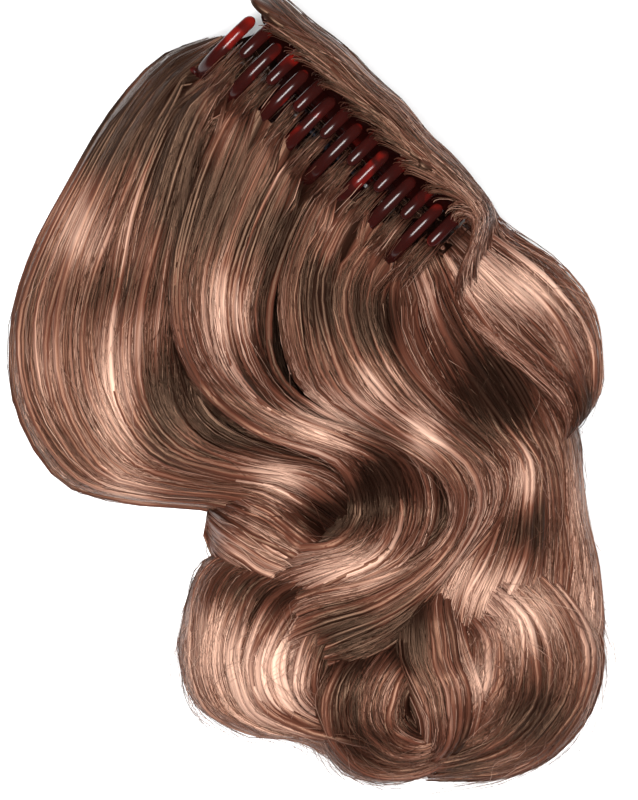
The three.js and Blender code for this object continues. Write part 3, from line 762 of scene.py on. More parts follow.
class Swathe:
    """One swathe of the fall: its edges, its plan and how its locks wander."""

    def __init__(self, name):
        hair = bpy.context.scene.ponytail_hair
        self.name = name
        self.plan = dict(zip(COMBS, COMBING[name]))
        self.rows = np.asarray(SWATHES[name], float)
        self.near, self.far = on_fall(self.rows[:, :3]), on_fall(self.rows[:, 3:])
        self.arch = 0 if name == "under_clip" else hair.arch
        self.crown = 0.0004 if name == "under_clip" else hair.crown
        locks = self.plan["locks"]
        rng = np.random.default_rng([hair.seed, list(SWATHES).index(name)])
        before, after = self.plan["under"]
        self.span = (1 + before + after) / locks
        self.centre = (np.arange(locks) + 0.5 + rng.uniform(-0.22, 0.22, locks)) * self.span - before
        self.half = rng.uniform(0.6, 1.0, locks) * self.span
        self.reach = path_length((self.near + self.far) / 2)
        self.width = np.linalg.norm(self.far - self.near, axis=1).mean()
        self.sway = min(1, self.reach / (self.span * self.width) / 25)
        if self.plan["round"][0]:
            self.half[0] = self.span
            self.centre[0] = 0.65 * self.span
        if self.plan["round"][1]:
            self.half[-1] = self.span
            self.centre[-1] = 1 - 0.65 * self.span
        self.lift = rng.uniform(-0.5, 0.45, locks) * self.crown
        self.tint = rng.normal(0, 0.06, locks)
        self.ends = rng.uniform(0.86, 1.0, locks)
        self.seeds = rng.uniform(0, 1, (locks, 6))
        self.rng = rng

    def lock_line(self, lock, t):
        """Where a lock's middle lies across the swathe, its half width and its lift."""
        seeds = self.seeds[lock]
        centre = self.centre[lock][:, None] + 0.3 * self.sway * self.span * drift(t, seeds, 1.1)
        half = self.half[lock][:, None] * (1 + 0.2 * self.sway * drift(t, seeds[:, ::-1], 1.2))
        lift = self.lift[lock][:, None] + 0.3 * self.crown * drift(t, seeds[:, [3, 4, 5, 0, 1, 2]], 1.5)
        return centre, half, lift

    def relief(self, s, t):
        """How far the locks stand out of the swathe at s across and t along."""
        highest = np.full(np.shape(s), -1.3 * self.crown)
        for lock in range(self.plan["locks"]):
            centre, half, lift = self.lock_line(np.array([lock]), t.reshape(1, -1))
            x = (s - centre.reshape(t.shape)) / half.reshape(t.shape)
            highest = np.maximum(highest, lift.reshape(t.shape) - self.crown * x ** 2)
        return highest

    def points(self, s, t, relief):
        """Points of the swathe, with its rounded edges and its ends under their neighbours."""
        before, after = self.plan["under"]
        depth, until = self.plan["emerge"]
        if depth:
            relief = relief * smooth_step(t, 0, until)
        s = np.clip(s, -RIM_REACH - before, 1 + RIM_REACH + after)
        near = along_curve(self.near, t)
        across = along_curve(self.far, t) - near
        paths = near + across * s[..., None]
        inside = np.clip(s, 0, 1)
        height = near[..., 2] + across[..., 2] * inside + self.arch * np.sin(math.pi * inside) + relief
        beyond = np.maximum(-s / max(before, 0.01), (s - 1) / max(after, 0.01))
        height = height * (1 - 0.68 * np.clip(beyond, 0, 1.2) ** 1.1)
        height = height - depth * MM * (1 - smooth_step(t, 0, until))
        depth, sinks_from = self.plan["sink"]
        height = height - depth * MM * smooth_step(t, sinks_from, 1)
        for exposed, inward in zip(self.plan["round"], (s, 1 - s)):
            if exposed:
                close = 1 - np.clip((inward + RIM_REACH) / RIM_TURN, 0, 1)
                height = height * (0.05 + 0.95 * np.sqrt(1 - close ** 2.4))
        paths[..., 2] = np.maximum(height, LOWEST_PATH)
        return paths

    def shade(self, s, t):
        """How light the hair is: darker at its roots, partly its own colour and partly painted shade, with
        painted shade at its edges and painted highlights and shade by its place on the fall.
        """
        near, far = (along_curve(self.rows[:, part], t) for part in (slice(0, 2), slice(3, 5)))
        across, down = np.moveaxis(near * (1 - s)[..., None] + far * s[..., None], -1, 0)
        # Darker towards the roots: partly the hair's own darker roots and partly painted shade by the clip
        light = 0.17 + 0.15 * smooth_step(t, 0.03, 0.35)
        # Painted shade where the swathe goes on under its neighbours
        light = light - 0.40 * smooth_step(np.maximum(-s, s - 1), -0.05, 0.3)
        # Painted highlights and painted shade by place on the fall
        for middle_across, middle_down, reach_across, reach_down, more in PAINTED_LIGHT_PATCHES:
            light = light + more * np.exp(-((across - middle_across) / reach_across) ** 2
                                          - ((down - middle_down) / reach_down) ** 2)
        # Painted shade on the hair under the clip
        return light if self.name != "under_clip" else light - 0.1

    def strands(self, count, steps, wander, proud):
        """Lanes for strands that keep to their locks: across, along, height, lock and each strand's own
        seeds.
        """
        rng = self.rng
        locks = self.plan["locks"]
        share = self.half / self.half.sum()
        member = rng.choice(locks, count, p=share)
        x = rng.uniform(-1, 1, count)
        own = rng.uniform(0, 1, (count, 6))
        start = np.where(rng.uniform(0, 1, count) < 0.7, 0, rng.uniform(0, 0.3, count))
        end = 1 - 0.14 * rng.uniform(0, 1, count) ** 1.5
        t = start[:, None] + (end - start)[:, None] * np.linspace(0, 1, steps)
        centre, half, _ = self.lock_line(member, t)
        gather = 1 - self.plan["gather"] * smooth_step(t, 0.75, 1.0)
        inside = x[:, None] * gather + wander * self.sway * drift(t, own, 1.8)
        s = centre + inside * half
        # Some strands lie on the rims, where the swathe turns down to the floor
        rim = rng.uniform(0, 1, count)
        low = (0.07 * rng.uniform(0, 1, count) ** 1.3 - RIM_REACH)[:, None] + RIM_REACH * drift(t, own, 1.5)
        if self.plan["round"][0]:
            s = np.where(rim[:, None] < 0.10, low, s)
        if self.plan["round"][1]:
            s = np.where(rim[:, None] > 0.90, 1 - low, s)
        relief = self.relief(s, t) + proud + 0.12 * MM * drift(t, own[:, ::-1], 2.0)
        return s, t, relief, member, own


def clear_of_swing(points):
    """Keeps the fall out of the side where the jaw opens."""
    points = points.copy()
    x, y, z = points[..., 0], points[..., 1], points[..., 2]
    end = CLIP_PLACE[0] + SWING_END
    edge = CLIP_PLACE[1] + SWING_EDGE
    taken = (y > edge) & (z > SWING_FLOOR) & (x < end)
    right = taken & (x > CLIP_PLACE[0])
    points[..., 0] = np.where(right, end, x)
    points[..., 1] = np.where(taken & ~right, edge, y)
    return points


def thinning(share, rng, count):
    """Half the thickness of strands, which thin out towards their tips."""
    strand = bpy.context.scene.ponytail_hair.strand
    return strand / 2 * (1 - 0.6 * smooth_step(share, 0.85, 1.0)) * rng.uniform(0.7, 1.25, count)[:, None]


def fibre_mesh(name, bundles, material):
    """One joined mesh of closed strands or locklets, made from arrays."""
    verts, loops, starts, shades, fibres = [], [], [], [], []
    first = 0
    corner = 0
    for paths, wide, high, shade, sides in bundles:
        count, steps, _ = paths.shape
        tangent = np.gradient(paths, axis=1)
        length = np.linalg.norm(tangent, axis=2)
        tangent /= length[..., None] + 1e-12
        across = np.cross(tangent, (0, 0, 1.0))
        across /= np.linalg.norm(across, axis=2, keepdims=True) + 1e-12
        lift = np.cross(across, tangent)
        around = (np.arange(sides) * TURN / sides + math.pi / 2)[:, None]
        ring = (np.cos(around) * across[:, :, None, :] * wide[:, :, None, None]
                + np.sin(around) * lift[:, :, None, :] * high[:, :, None, None])
        points = (paths[:, :, None, :] + ring).reshape(-1, 3)
        points[:, 2] = np.maximum(points[:, 2], LOWEST_POINT)
        verts.append(points)
        shades.append(np.repeat(shade.reshape(-1), sides))
        place = np.empty((count, steps, sides, 3))
        place[..., 0] = np.cos(around[:, 0]) * wide[:, :, None] / MM + np.arange(count)[:, None, None] * APART
        place[..., 1] = (np.cumsum(length, axis=1) / MM)[:, :, None]
        place[..., 2] = sides
        fibres.append(place.reshape(-1, 3))
        strand = first + np.arange(count)[:, None, None, None] * steps * sides
        here = np.arange(steps - 1)[None, :, None, None] * sides
        k = np.arange(sides)[None, None, :, None]
        ahead = (k + 1) % sides
        quads = np.concatenate([strand + here + k, strand + here + sides + k, strand + here + sides + ahead,
                                strand + here + ahead], axis=3).reshape(-1, 4)
        base = first + np.arange(count)[:, None] * steps * sides
        turn = np.arange(sides)
        caps = np.concatenate([base + turn, base + (steps - 1) * sides + turn[::-1]])
        loops += [quads.reshape(-1), caps.reshape(-1)]
        starts += [corner + np.arange(len(quads)) * 4,
                   corner + quads.size + np.arange(len(caps)) * sides]
        corner += quads.size + caps.size
        first += count * steps * sides
    mesh = bpy.data.meshes.new(name)
    verts, loops, starts = np.concatenate(verts), np.concatenate(loops), np.concatenate(starts)
    mesh.vertices.add(len(verts))
    mesh.vertices.foreach_set("co", verts.astype(np.float32).ravel())
    mesh.loops.add(len(loops))
    mesh.loops.foreach_set("vertex_index", loops.astype(np.int32))
    mesh.polygons.add(len(starts))
    mesh.polygons.foreach_set("loop_start", starts.astype(np.int32))
    mesh.update(calc_edges=True)
    mesh.shade_smooth()
    keep_fibres(mesh, np.concatenate(shades), np.concatenate(fibres))
    mesh.materials.append(material)
    return link_object(name, mesh)


def keep_fibres(mesh, shades, fibres):
    """Stores how light each point is, its own tone with painted highlights and painted shade, and its place
    across and along the fibres in millimetres.
    """
    mesh.attributes.new("shade", "FLOAT", "POINT").data.foreach_set("value", shades.astype(np.float32))
    mesh.attributes.new("fibre", "FLOAT_VECTOR", "POINT").data.foreach_set(
        "vector", fibres.astype(np.float32).ravel())


def hair_fibre_material():
    """Heat-curled modacrylic fibre: fine, smooth and glossy, warm brown with lighter strands."""
    found = bpy.data.materials.get("curled_fibre")
    if found:
        return found
    tones = bpy.context.scene.ponytail_colours
    material, tree, shader = new_material("curled_fibre", {
        "Roughness": 0.40, "IOR": 1.55, "Specular IOR Level": 0.5, "Specular Tint": colour("#eebd9c")})
    # The shade attribute brings the hair's own tone with its painted highlights and painted shade
    shade = add_node(tree, "ShaderNodeAttribute", {"attribute_name": "shade"})
    fibre = add_node(tree, "ShaderNodeAttribute", {"attribute_name": "fibre"})
    place = add_node(tree, "ShaderNodeTexCoord")
    # Fibres 0.3 mm apart, coarser than real ones so that they show, and streaks of 1.5 mm
    fine = add_node(tree, "ShaderNodeMapping", values={"Scale": (3.2, 0.030, 1.0)},
                    links={"Vector": fibre.outputs["Vector"]})
    fibres = add_node(tree, "ShaderNodeTexNoise", values={"Scale": 1.0, "Detail": 2.0, "Roughness": 0.6},
                      links={"Vector": fine.outputs["Vector"]})
    wide = add_node(tree, "ShaderNodeMapping", values={"Scale": (0.65, 0.018, 1.0)},
                    links={"Vector": fibre.outputs["Vector"]})
    streaks = add_node(tree, "ShaderNodeTexNoise", values={"Scale": 1.0, "Detail": 1.0},
                       links={"Vector": wide.outputs["Vector"]})
    # Broad patches of lighter hair, about 30 mm across
    patches = add_node(tree, "ShaderNodeTexNoise", values={"Scale": 32.0, "Detail": 1.0},
                       links={"Vector": place.outputs["Object"]})
    level = shade.outputs["Fac"]
    for texture, amount in ((fibres, 0.56), (streaks, 0.50), (patches, 0.16)):
        centred = add_node(tree, "ShaderNodeMath", {"operation": "MULTIPLY_ADD"},
                           {1: amount, 2: -amount / 2}, {0: texture.outputs["Fac"]})
        level = add_node(tree, "ShaderNodeMath", {"operation": "ADD"},
                         links={0: level, 1: centred.outputs[0]}).outputs[0]
    ramp = add_node(tree, "ShaderNodeValToRGB", links={"Fac": level})
    set_stops(ramp, [(0.06, (*tones.deep, 1)), (0.40, (*tones.brown, 1)), (0.94, (*tones.caramel, 1))])
    tree.links.new(ramp.outputs["Color"], shader.inputs["Base Color"])
    ridges = add_node(tree, "ShaderNodeBump", values={"Strength": 0.8, "Distance": 0.00015},
                      links={"Height": fibres.outputs["Fac"]})
    tree.links.new(ridges.outputs["Normal"], shader.inputs["Normal"])
    return material


def painted_shade_material():
    """The same fibre deep under the locks, painted dark and dull as the shade there."""
    material, tree, shader = new_material("painted_shade_fibre", {"Roughness": 1.0, "Specular IOR Level": 0.0})
    place = add_node(tree, "ShaderNodeTexCoord")
    # Fibres drawn 1 mm apart, coarser than real ones so that they show
    fibres = add_node(tree, "ShaderNodeTexNoise", values={"Scale": 900.0, "Detail": 3.0},
                      links={"Vector": place.outputs["Object"]})
    ramp = add_node(tree, "ShaderNodeValToRGB", links={"Fac": fibres.outputs["Fac"]})
    set_stops(ramp, [(0.3, colour("#0d0605")), (0.7, colour("#2a1812"))])
    tree.links.new(ramp.outputs["Color"], shader.inputs["Base Color"])
    return material


def acetate_material():
    """Cellulose acetate, cast in dark tortoise sheet and tumble polished: glossy, red where light passes."""
    tones = bpy.context.scene.ponytail_colours
    material, tree, shader = new_material("polished_acetate", {
        "Roughness": 0.17, "IOR": 1.49, "Specular IOR Level": 0.2, "Subsurface Weight": 0.06,
        "Subsurface Radius": (1.0, 0.12, 0.06), "Subsurface Scale": 0.002})
    place = add_node(tree, "ShaderNodeTexCoord")
    # Tortoise patches about 9 mm across
    patches = add_node(tree, "ShaderNodeTexNoise", values={"Scale": 110.0, "Detail": 1.5, "Distortion": 0.6},
                       links={"Vector": place.outputs["Object"]})
    # Painted glow: the teeth's ends are made redder where light would shine through them
    glow = add_node(tree, "ShaderNodeAttribute", {"attribute_name": "glow"})
    shone = add_node(tree, "ShaderNodeMath", {"operation": "MULTIPLY_ADD"}, {1: 0.16},
                     {0: glow.outputs["Fac"], 2: patches.outputs["Fac"]})
    ramp = add_node(tree, "ShaderNodeValToRGB", links={"Fac": shone.outputs[0]})
    set_stops(ramp, [(0.45, (*tones.acetate, 1)), (0.66, colour("#2a0a08")), (0.84, colour("#6a120c"))])
    tree.links.new(ramp.outputs["Color"], shader.inputs["Base Color"])
    return material


def steel_material():
    """Drawn spring steel, painted dark as the shade inside the clip, with fine lines along the wire."""
    material, tree, shader = new_material("shaded_steel", {"Metallic": 1.0})
    place = add_node(tree, "ShaderNodeTexCoord")
    # Drawing lines about 0.3 mm apart
    lines = add_node(tree, "ShaderNodeTexNoise", values={"Scale": 1500.0, "Detail": 2.0},
                     links={"Vector": place.outputs["Object"]})
    ramp = add_node(tree, "ShaderNodeValToRGB", links={"Fac": lines.outputs["Fac"]})
    set_stops(ramp, [(0.3, colour("#1d1d22")), (0.7, colour("#323238"))])
    tree.links.new(ramp.outputs["Color"], shader.inputs["Base Color"])
    rough = add_node(tree, "ShaderNodeMapRange", values={"To Min": 0.45, "To Max": 0.6},
                     links={"Value": lines.outputs["Fac"]})
    tree.links.new(rough.outputs["Result"], shader.inputs["Roughness"])
    return material


def floor_material():
    """Matt white paper."""
    material, tree, shader = new_material("white_paper", {"Roughness": 0.9, "Specular IOR Level": 0.1})
    place = add_node(tree, "ShaderNodeTexCoord")
    # Paper fibre about 2 mm
    fibre = add_node(tree, "ShaderNodeTexNoise", values={"Scale": 500.0, "Detail": 2.0},
                     links={"Vector": place.outputs["Object"]})
    ramp = add_node(tree, "ShaderNodeValToRGB", links={"Fac": fibre.outputs["Fac"]})
    set_stops(ramp, [(0.0, colour("#f6f6f6")), (1.0, colour("#fbfbfb"))])
    tree.links.new(ramp.outputs["Color"], shader.inputs["Base Color"])
    return material


class PONYTAIL_OT_jaws(bpy.types.Operator):
    """Builds the two jaws of the claw clip, with their teeth, thumb tabs and lugs"""

    bl_idname = "ponytail.jaws"
    bl_label = "Claw clip jaws"

    def execute(self, context):
        clip = context.scene.ponytail_clip
        material = acetate_material()
        half = (clip.teeth - 0.5) * clip.pitch / 2
        for name, node, side, body in (("jaw_still", "jaw_a", SIDE_A, "fixed_jaw"),
                                       ("jaw_opening", "jaw_b", SIDE_B, "moving_jaw")):
            first = -half if side < 0 else -half + clip.pitch / 2
            teeth = [tooth_bar(side, first + i * clip.pitch) for i in range(clip.teeth)]
            parts = [jaw_plate(side), thumb_tab(side), *hinge_lugs(side), *teeth]
            made = fuse(name, parts, pin_bore(), material)
            if not made.data.polygons:
                raise RuntimeError(f"{name} came out empty")
            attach(made, body)
            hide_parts(node)
        return {"FINISHED"}


class PONYTAIL_OT_hinge(bpy.types.Operator):
    """Gives the hinge pin and the spring their steel"""

    bl_idname = "ponytail.hinge"
    bl_label = "Hinge pin and spring"

    def execute(self, context):
        material = steel_material()
        for name in ("hinge_pin", "spring"):
            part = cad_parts[name]
            part.data.materials.clear()
            part.data.materials.append(material)
        return {"FINISHED"}


class PONYTAIL_OT_locks(bpy.types.Operator):
    """Builds the smooth locks of the fall and the layers on the floor that carry them"""

    bl_idname = "ponytail.locks"
    bl_label = "Locks"

    def execute(self, context):
        bm = bmesh.new()
        shades, fibres = [], []
        for name in SWATHES:
            swathe = Swathe(name)
            for lock in range(swathe.plan["locks"]):
                self.add_lock(bm, swathe, lock, shades, fibres)
        bmesh.ops.recalc_face_normals(bm, faces=bm.faces[:])
        made = link_mesh(bm, "locks", hair_fibre_material(), sharp=70)
        keep_fibres(made.data, np.concatenate(shades), np.concatenate(fibres))
        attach(made, "fixed_jaw")
        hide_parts("hair_fall")
        bm = bmesh.new()
        # Dark layers on the floor under the locks, painted as shade where they show between the locks
        for outline, height in ((BACKING_OUTLINE, BACKING_HEIGHT), (UNDERLAY_OUTLINE, UNDERLAY_HEIGHT)):
            add_plate(bm, on_fall([(across, down, 0) for across, down in outline]), height)
        bmesh.ops.recalc_face_normals(bm, faces=bm.faces[:])
        backing = link_mesh(bm, "backing", painted_shade_material(), sharp=70)
        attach(backing, "fixed_jaw")
        return {"FINISHED"}

    def add_lock(self, bm, swathe, lock, shades, fibres):
        """One lock: a crowned ridge that stands on the floor."""
        chosen = np.array([lock])

        def place(x, t, y):
            narrow = 1 - 0.9 * np.clip((t - 0.8) / 0.2, 0, 1) ** 1.6
            if swathe.plan["emerge"][0]:
                narrow = np.minimum(narrow, 0.6 + 0.4 * smooth_step(t, 0, 0.1))
            t = t * swathe.ends[lock]
            centre, half, lift = (part[0] for part in swathe.lock_line(chosen, t[None]))
            below = y < -0.01
            side = np.where(below & (np.abs(x) > 0.1), np.sign(x), x)
            points = swathe.points(centre + side * half * narrow, t, lift - swathe.crown * side ** 2)
            points[..., 2] = np.where(below, 0, points[..., 2])
            return clear_of_swing(points)

        x, t, y = blank_bar(bm, 14, 42, place)
        t = t * swathe.ends[lock]
        centre, half, _ = (part[0] for part in swathe.lock_line(chosen, t[None]))
        s = centre + x * half
        below = y < -0.01
        # Painted shade towards the grooves between locks, and down the walls
        shades.append(swathe.shade(s, t) + swathe.tint[lock] - 0.50 * np.abs(x) ** 3 - 0.25 * below)
        near, far = swathe.plan["round"]
        rim = (near and lock == 0) * (x < 0) + (far and lock == swathe.plan["locks"] - 1) * (x > 0)
        wall = below * rim * np.sign(x) * swathe.points(s, t, 0 * t)[:, 2] / MM
        grain = s * swathe.width / MM + wall + lock * 3.7
        fibres.append(np.stack([grain, t * swathe.reach / MM, 0 * t + lock], axis=-1))


class PONYTAIL_OT_strands(bpy.types.Operator):
    """Combs locklets and strands over the locks of the fall, swathe by swathe"""

    bl_idname = "ponytail.strands"
    bl_label = "Strands of the fall"

    def execute(self, context):
        material = hair_fibre_material()
        for piece, names in STRAND_PIECES.items():
            made = fibre_mesh(piece, [bundle for name in names for bundle in self.comb(name)], material)
            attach(made, "fixed_jaw")
        return {"FINISHED"}

    def comb(self, name):
        """The locklets and the strands of one swathe."""
        swathe = Swathe(name)
        plan, rng = swathe.plan, swathe.rng
        steps = plan["steps"]
        made = []
        if plan["locklets"]:
            # Neighbours lie at three heights, so that one passes cleanly over the other where they cross
            proud = (0.08 + 0.14 * (np.arange(plan["locklets"]) % 3))[:, None] * MM
            s, t, relief, member, own = swathe.strands(plan["locklets"], steps + 6, 0.12, proud)
            paths = between_teeth(clear_of_swing(swathe.points(s, t, relief)))
            ends = np.sqrt(np.maximum(0.02, 1 - np.abs(2 * np.linspace(0, 1, steps + 6) - 1) ** 6))
            wide = rng.uniform(0.5, 1.3, len(own))[:, None] * MM * ends * (1 + 0.3 * drift(t, own, 1.5))
            made.append((paths, wide, 0.45 * wide, self.lightness(swathe, s, t, member, 0.08), 6))
        s, t, relief, member, own = swathe.strands(plan["strands"], steps, 0.06, 0.18 * MM)
        paths = swathe.points(s, t, relief)
        # One strand in twenty strays
        loose = rng.uniform(0, 1, len(own)) < 0.05
        fly = np.where(loose, 1.6 * MM, 0)[:, None] * drift(t, own, 1.4)
        paths += np.stack([fly * 0.7, fly[:, ::-1] * 0.7, np.abs(fly) * smooth_step(t, 0.1, 0.3)], axis=-1)
        paths[..., 2] = np.maximum(paths[..., 2], LOWEST_PATH)
        paths = between_teeth(clear_of_swing(paths))
        thick = thinning((t - t[:, :1]) / (t[:, -1:] - t[:, :1]), rng, len(own))
        made.append((paths, thick, thick, self.lightness(swathe, s, t, member, 0.13), 3))
        return made

    def lightness(self, swathe, s, t, member, spread):
        """How light each strand is, by the painted highlights and shade of its place, its lock and by chance.
        """
        chance = swathe.rng.normal(0, spread, len(t))[:, None]
        return swathe.shade(s, t) + swathe.tint[member][:, None] + chance


class PONYTAIL_OT_cover(bpy.types.Operator):
    """Lays hair along the jaw that opens, and combs it on into the fall"""

    bl_idname = "ponytail.cover"
    bl_label = "Hair on the opening jaw"

    def execute(self, context):
        hair = context.scene.ponytail_hair
        clip = context.scene.ponytail_clip
        bm = bmesh.new()
        shades, fibres = [], []
        rng = np.random.default_rng([hair.seed, 40])
        # The first lock lies under all. An end has its place, degrees, half width in degrees and lift in mm.
        ends = [((COVER_START, 120, 34, -0.5), (COVER_END, 118, 32, -0.5))]
        starts = np.linspace(COVER_START, LAST_SLANT, COVER_SLANTS)
        for x, lift in zip(starts, rng.uniform(0, 0.6, COVER_SLANTS)):
            begin = (x, 149 - 3 * rng.uniform(), 7, lift)
            ends.append((begin, (min(x + 0.040, COVER_END), 98 + 12 * rng.uniform(), 10, lift)))
        for i, (begin, finish) in enumerate(ends):
            x, t = self.add_lock(bm, clip, begin, finish, i)
            # The first lock, under all, is painted dark as shade; the others get painted shade towards their
            # grooves, and are darker near the teeth, partly the hair's own darker roots and partly painted
            # shade
            shades.append((0.02 if i == 0 else 0.20 + 0.12 * t) - 0.3 * np.abs(x) ** 3 + rng.normal(0, 0.05))
            fibres.append(np.stack([x * begin[2] * 0.3 + i * 9.1, t * 45, 0 * t + 20 + i], axis=-1))
        bmesh.ops.recalc_face_normals(bm, faces=bm.faces[:])
        made = link_mesh(bm, "cover_locks", hair_fibre_material(), sharp=70)
        keep_fibres(made.data, np.concatenate(shades), np.concatenate(fibres))
        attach(made, "moving_jaw")
        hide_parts("hair_cover")
        rng = np.random.default_rng([hair.seed, 50])
        strands = fibre_mesh("cover_strands", [self.cover_paths(rng, hair, clip)], hair_fibre_material())
        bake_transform(strands)
        return {"FINISHED"}

    @staticmethod
    def reach(clip, along):
        """How far out from the jaws' middle the hair lies, along the clip."""
        places, depths = np.array(COVER_DEPTHS).T
        return clip.radius + np.interp(along / MM, places, depths) * MM + 0.0003 * np.sin(along * 260)

    def add_lock(self, bm, clip, begin, finish, i):
        """A flat lock on the jaw's curve, from one end to the other."""

        def bend(across, t, out):
            x, degrees, half, lift = (a + (b - a) * t for a, b in zip(begin, finish))
            end = np.sqrt(np.maximum(0.06, 1 - np.abs(2 * t - 1) ** (6 if i else 24)))
            x = np.clip(x, COVER_START, COVER_END)
            turn = smooth_step(t, 0, 1) * (finish[1] - begin[1]) + begin[1]
            turn = turn + 2 * np.sin(TURN * t + i) * (i > 0) + across * end * half
            outside = self.reach(clip, x) + lift * MM + out * 0.0008 - 0.0007 * (1 - end)
            return to_row(on_curve(SIDE_B, turn, np.where(out > 0, outside, clip.radius + COVER_INSIDE), x))

        return blank_bar(bm, 14, 36, bend)[:2]

    def cover_paths(self, rng, hair, clip):
        """Strands that leave the opening jaw's teeth, slant over it and run on into the right lobe."""
        count, locks, steps = 560, 14, 24
        x, near_turn, far_turn = np.array(COVER_RUN).T
        reach = self.reach(clip, x * MM)
        lobe = np.asarray(SWATHES["right_lobe"], float)[1:]
        near = np.vstack([to_row(on_curve(SIDE_B, near_turn, reach - 0.001, x * MM)), on_fall(lobe[:, :3])])
        far = np.vstack([to_row(on_curve(SIDE_B, far_turn, reach, x * MM)), on_fall(lobe[:, 3:])])
        member = rng.integers(0, locks, count)
        centre = (np.arange(locks) + 0.5 + rng.uniform(-0.3, 0.3, locks)) / locks
        seeds = rng.uniform(0, 1, (locks, 6))
        own = rng.uniform(0, 1, (count, 6))
        # Most strands leave a gap between two teeth, and the rest start on the jaw, some of them late
        from_teeth = rng.uniform(0, 1, count) < 0.72
        gap = rng.integers(0, clip.teeth, count)
        gap_x = -(clip.teeth - 1.5) * clip.pitch / 2 + gap * clip.pitch + rng.normal(0, 0.0016, count)
        begin = (gap_x / MM + 44) / 90 * 4.4 / (len(near) - 1)
        late = rng.uniform(0, 1, count) < 0.4
        begin = np.where(from_teeth, np.clip(begin, 0, 1), rng.uniform(0, 0.1, count) + 0.36 * late)
        end = np.minimum(begin + rng.uniform(0.35, 0.9, count), 1 - 0.1 * rng.uniform(0, 1, count))
        share = np.linspace(0, 1, steps) ** 1.25
        t = begin[:, None] + (end - begin)[:, None] * share
        # Within its lock each strand winds round the lock's middle
        angle = rng.uniform(0, TURN, count)[:, None]
        angle = angle + TURN * rng.uniform(-0.5, 0.5, locks)[member][:, None] * t
        radius = np.sqrt(rng.uniform(0.2, 1, count))[:, None]
        s = centre[member][:, None] + 0.5 / locks * drift(t, seeds[member], 1.2)
        s = s + 0.8 / locks * radius * np.cos(angle)
        s = np.where((late & ~from_teeth)[:, None], s * 0.6 - 0.02, s)
        slant = np.where(from_teeth[:, None], smooth_step(share, 0, 0.7)[None], 1)
        s = np.clip((s + 0.03 * drift(t, own, 2.5)) * slant, -0.02, 1.02)
        near_at, far_at = along_curve(near, t), along_curve(far, t)
        paths = near_at + (far_at - near_at) * s[..., None]
        # On the jaw none may lie deeper than the locks under it
        away = paths[..., 1:] - to_row(np.array((0, 0, clip.rise)))[1:]
        distance = np.linalg.norm(away, axis=-1, keepdims=True)
        on_jaw = 1 - smooth_step(paths[..., 0], CLIP_PLACE[0] + 0.040, CLIP_PLACE[0] + 0.062)
        wanted = self.reach(clip, paths[..., 0] - CLIP_PLACE[0]) - 0.0008 * (1 - smooth_step(s, 0, 0.2))
        wanted = wanted + 0.0011 + 0.0006 * radius * np.sin(angle) + 0.0005 * drift(t, own, 2.0)
        paths[..., 1:] += away / distance * (np.maximum(wanted[..., None] - distance, 0) * on_jaw[..., None])
        # The root of each strand stands between two teeth and leans over into its lane
        high = rng.uniform(148, 166, count)
        lift = clip.radius + rng.uniform(-0.001, 0.0008, count)
        root = to_row(on_curve(SIDE_B, high, lift, gap_x))
        lean = np.where(from_teeth[:, None, None], smooth_step(share, 0, 0.22)[None, :, None], 1)
        paths = root[:, None] * (1 - lean) + paths * lean
        paths[..., 2] += np.sin(math.pi * lean[..., 0]) * 0.0012
        paths[..., 2] = np.maximum(paths[..., 2], 0.6 * hair.strand)
        tint_of = rng.normal(0, 0.08, locks)
        # Darker where the strands leave the teeth, partly the hair's own darker roots and partly painted
        # shade
        shade = 0.22 + 0.14 * smooth_step(share, 0.1, 0.5)[None] + tint_of[member][:, None]
        shade = shade + rng.normal(0, 0.14, count)[:, None] + 0.06 * drift(t, own, 3.0)
        thick = thinning(share[None], rng, count)
        return paths, thick, thick, shade, 3


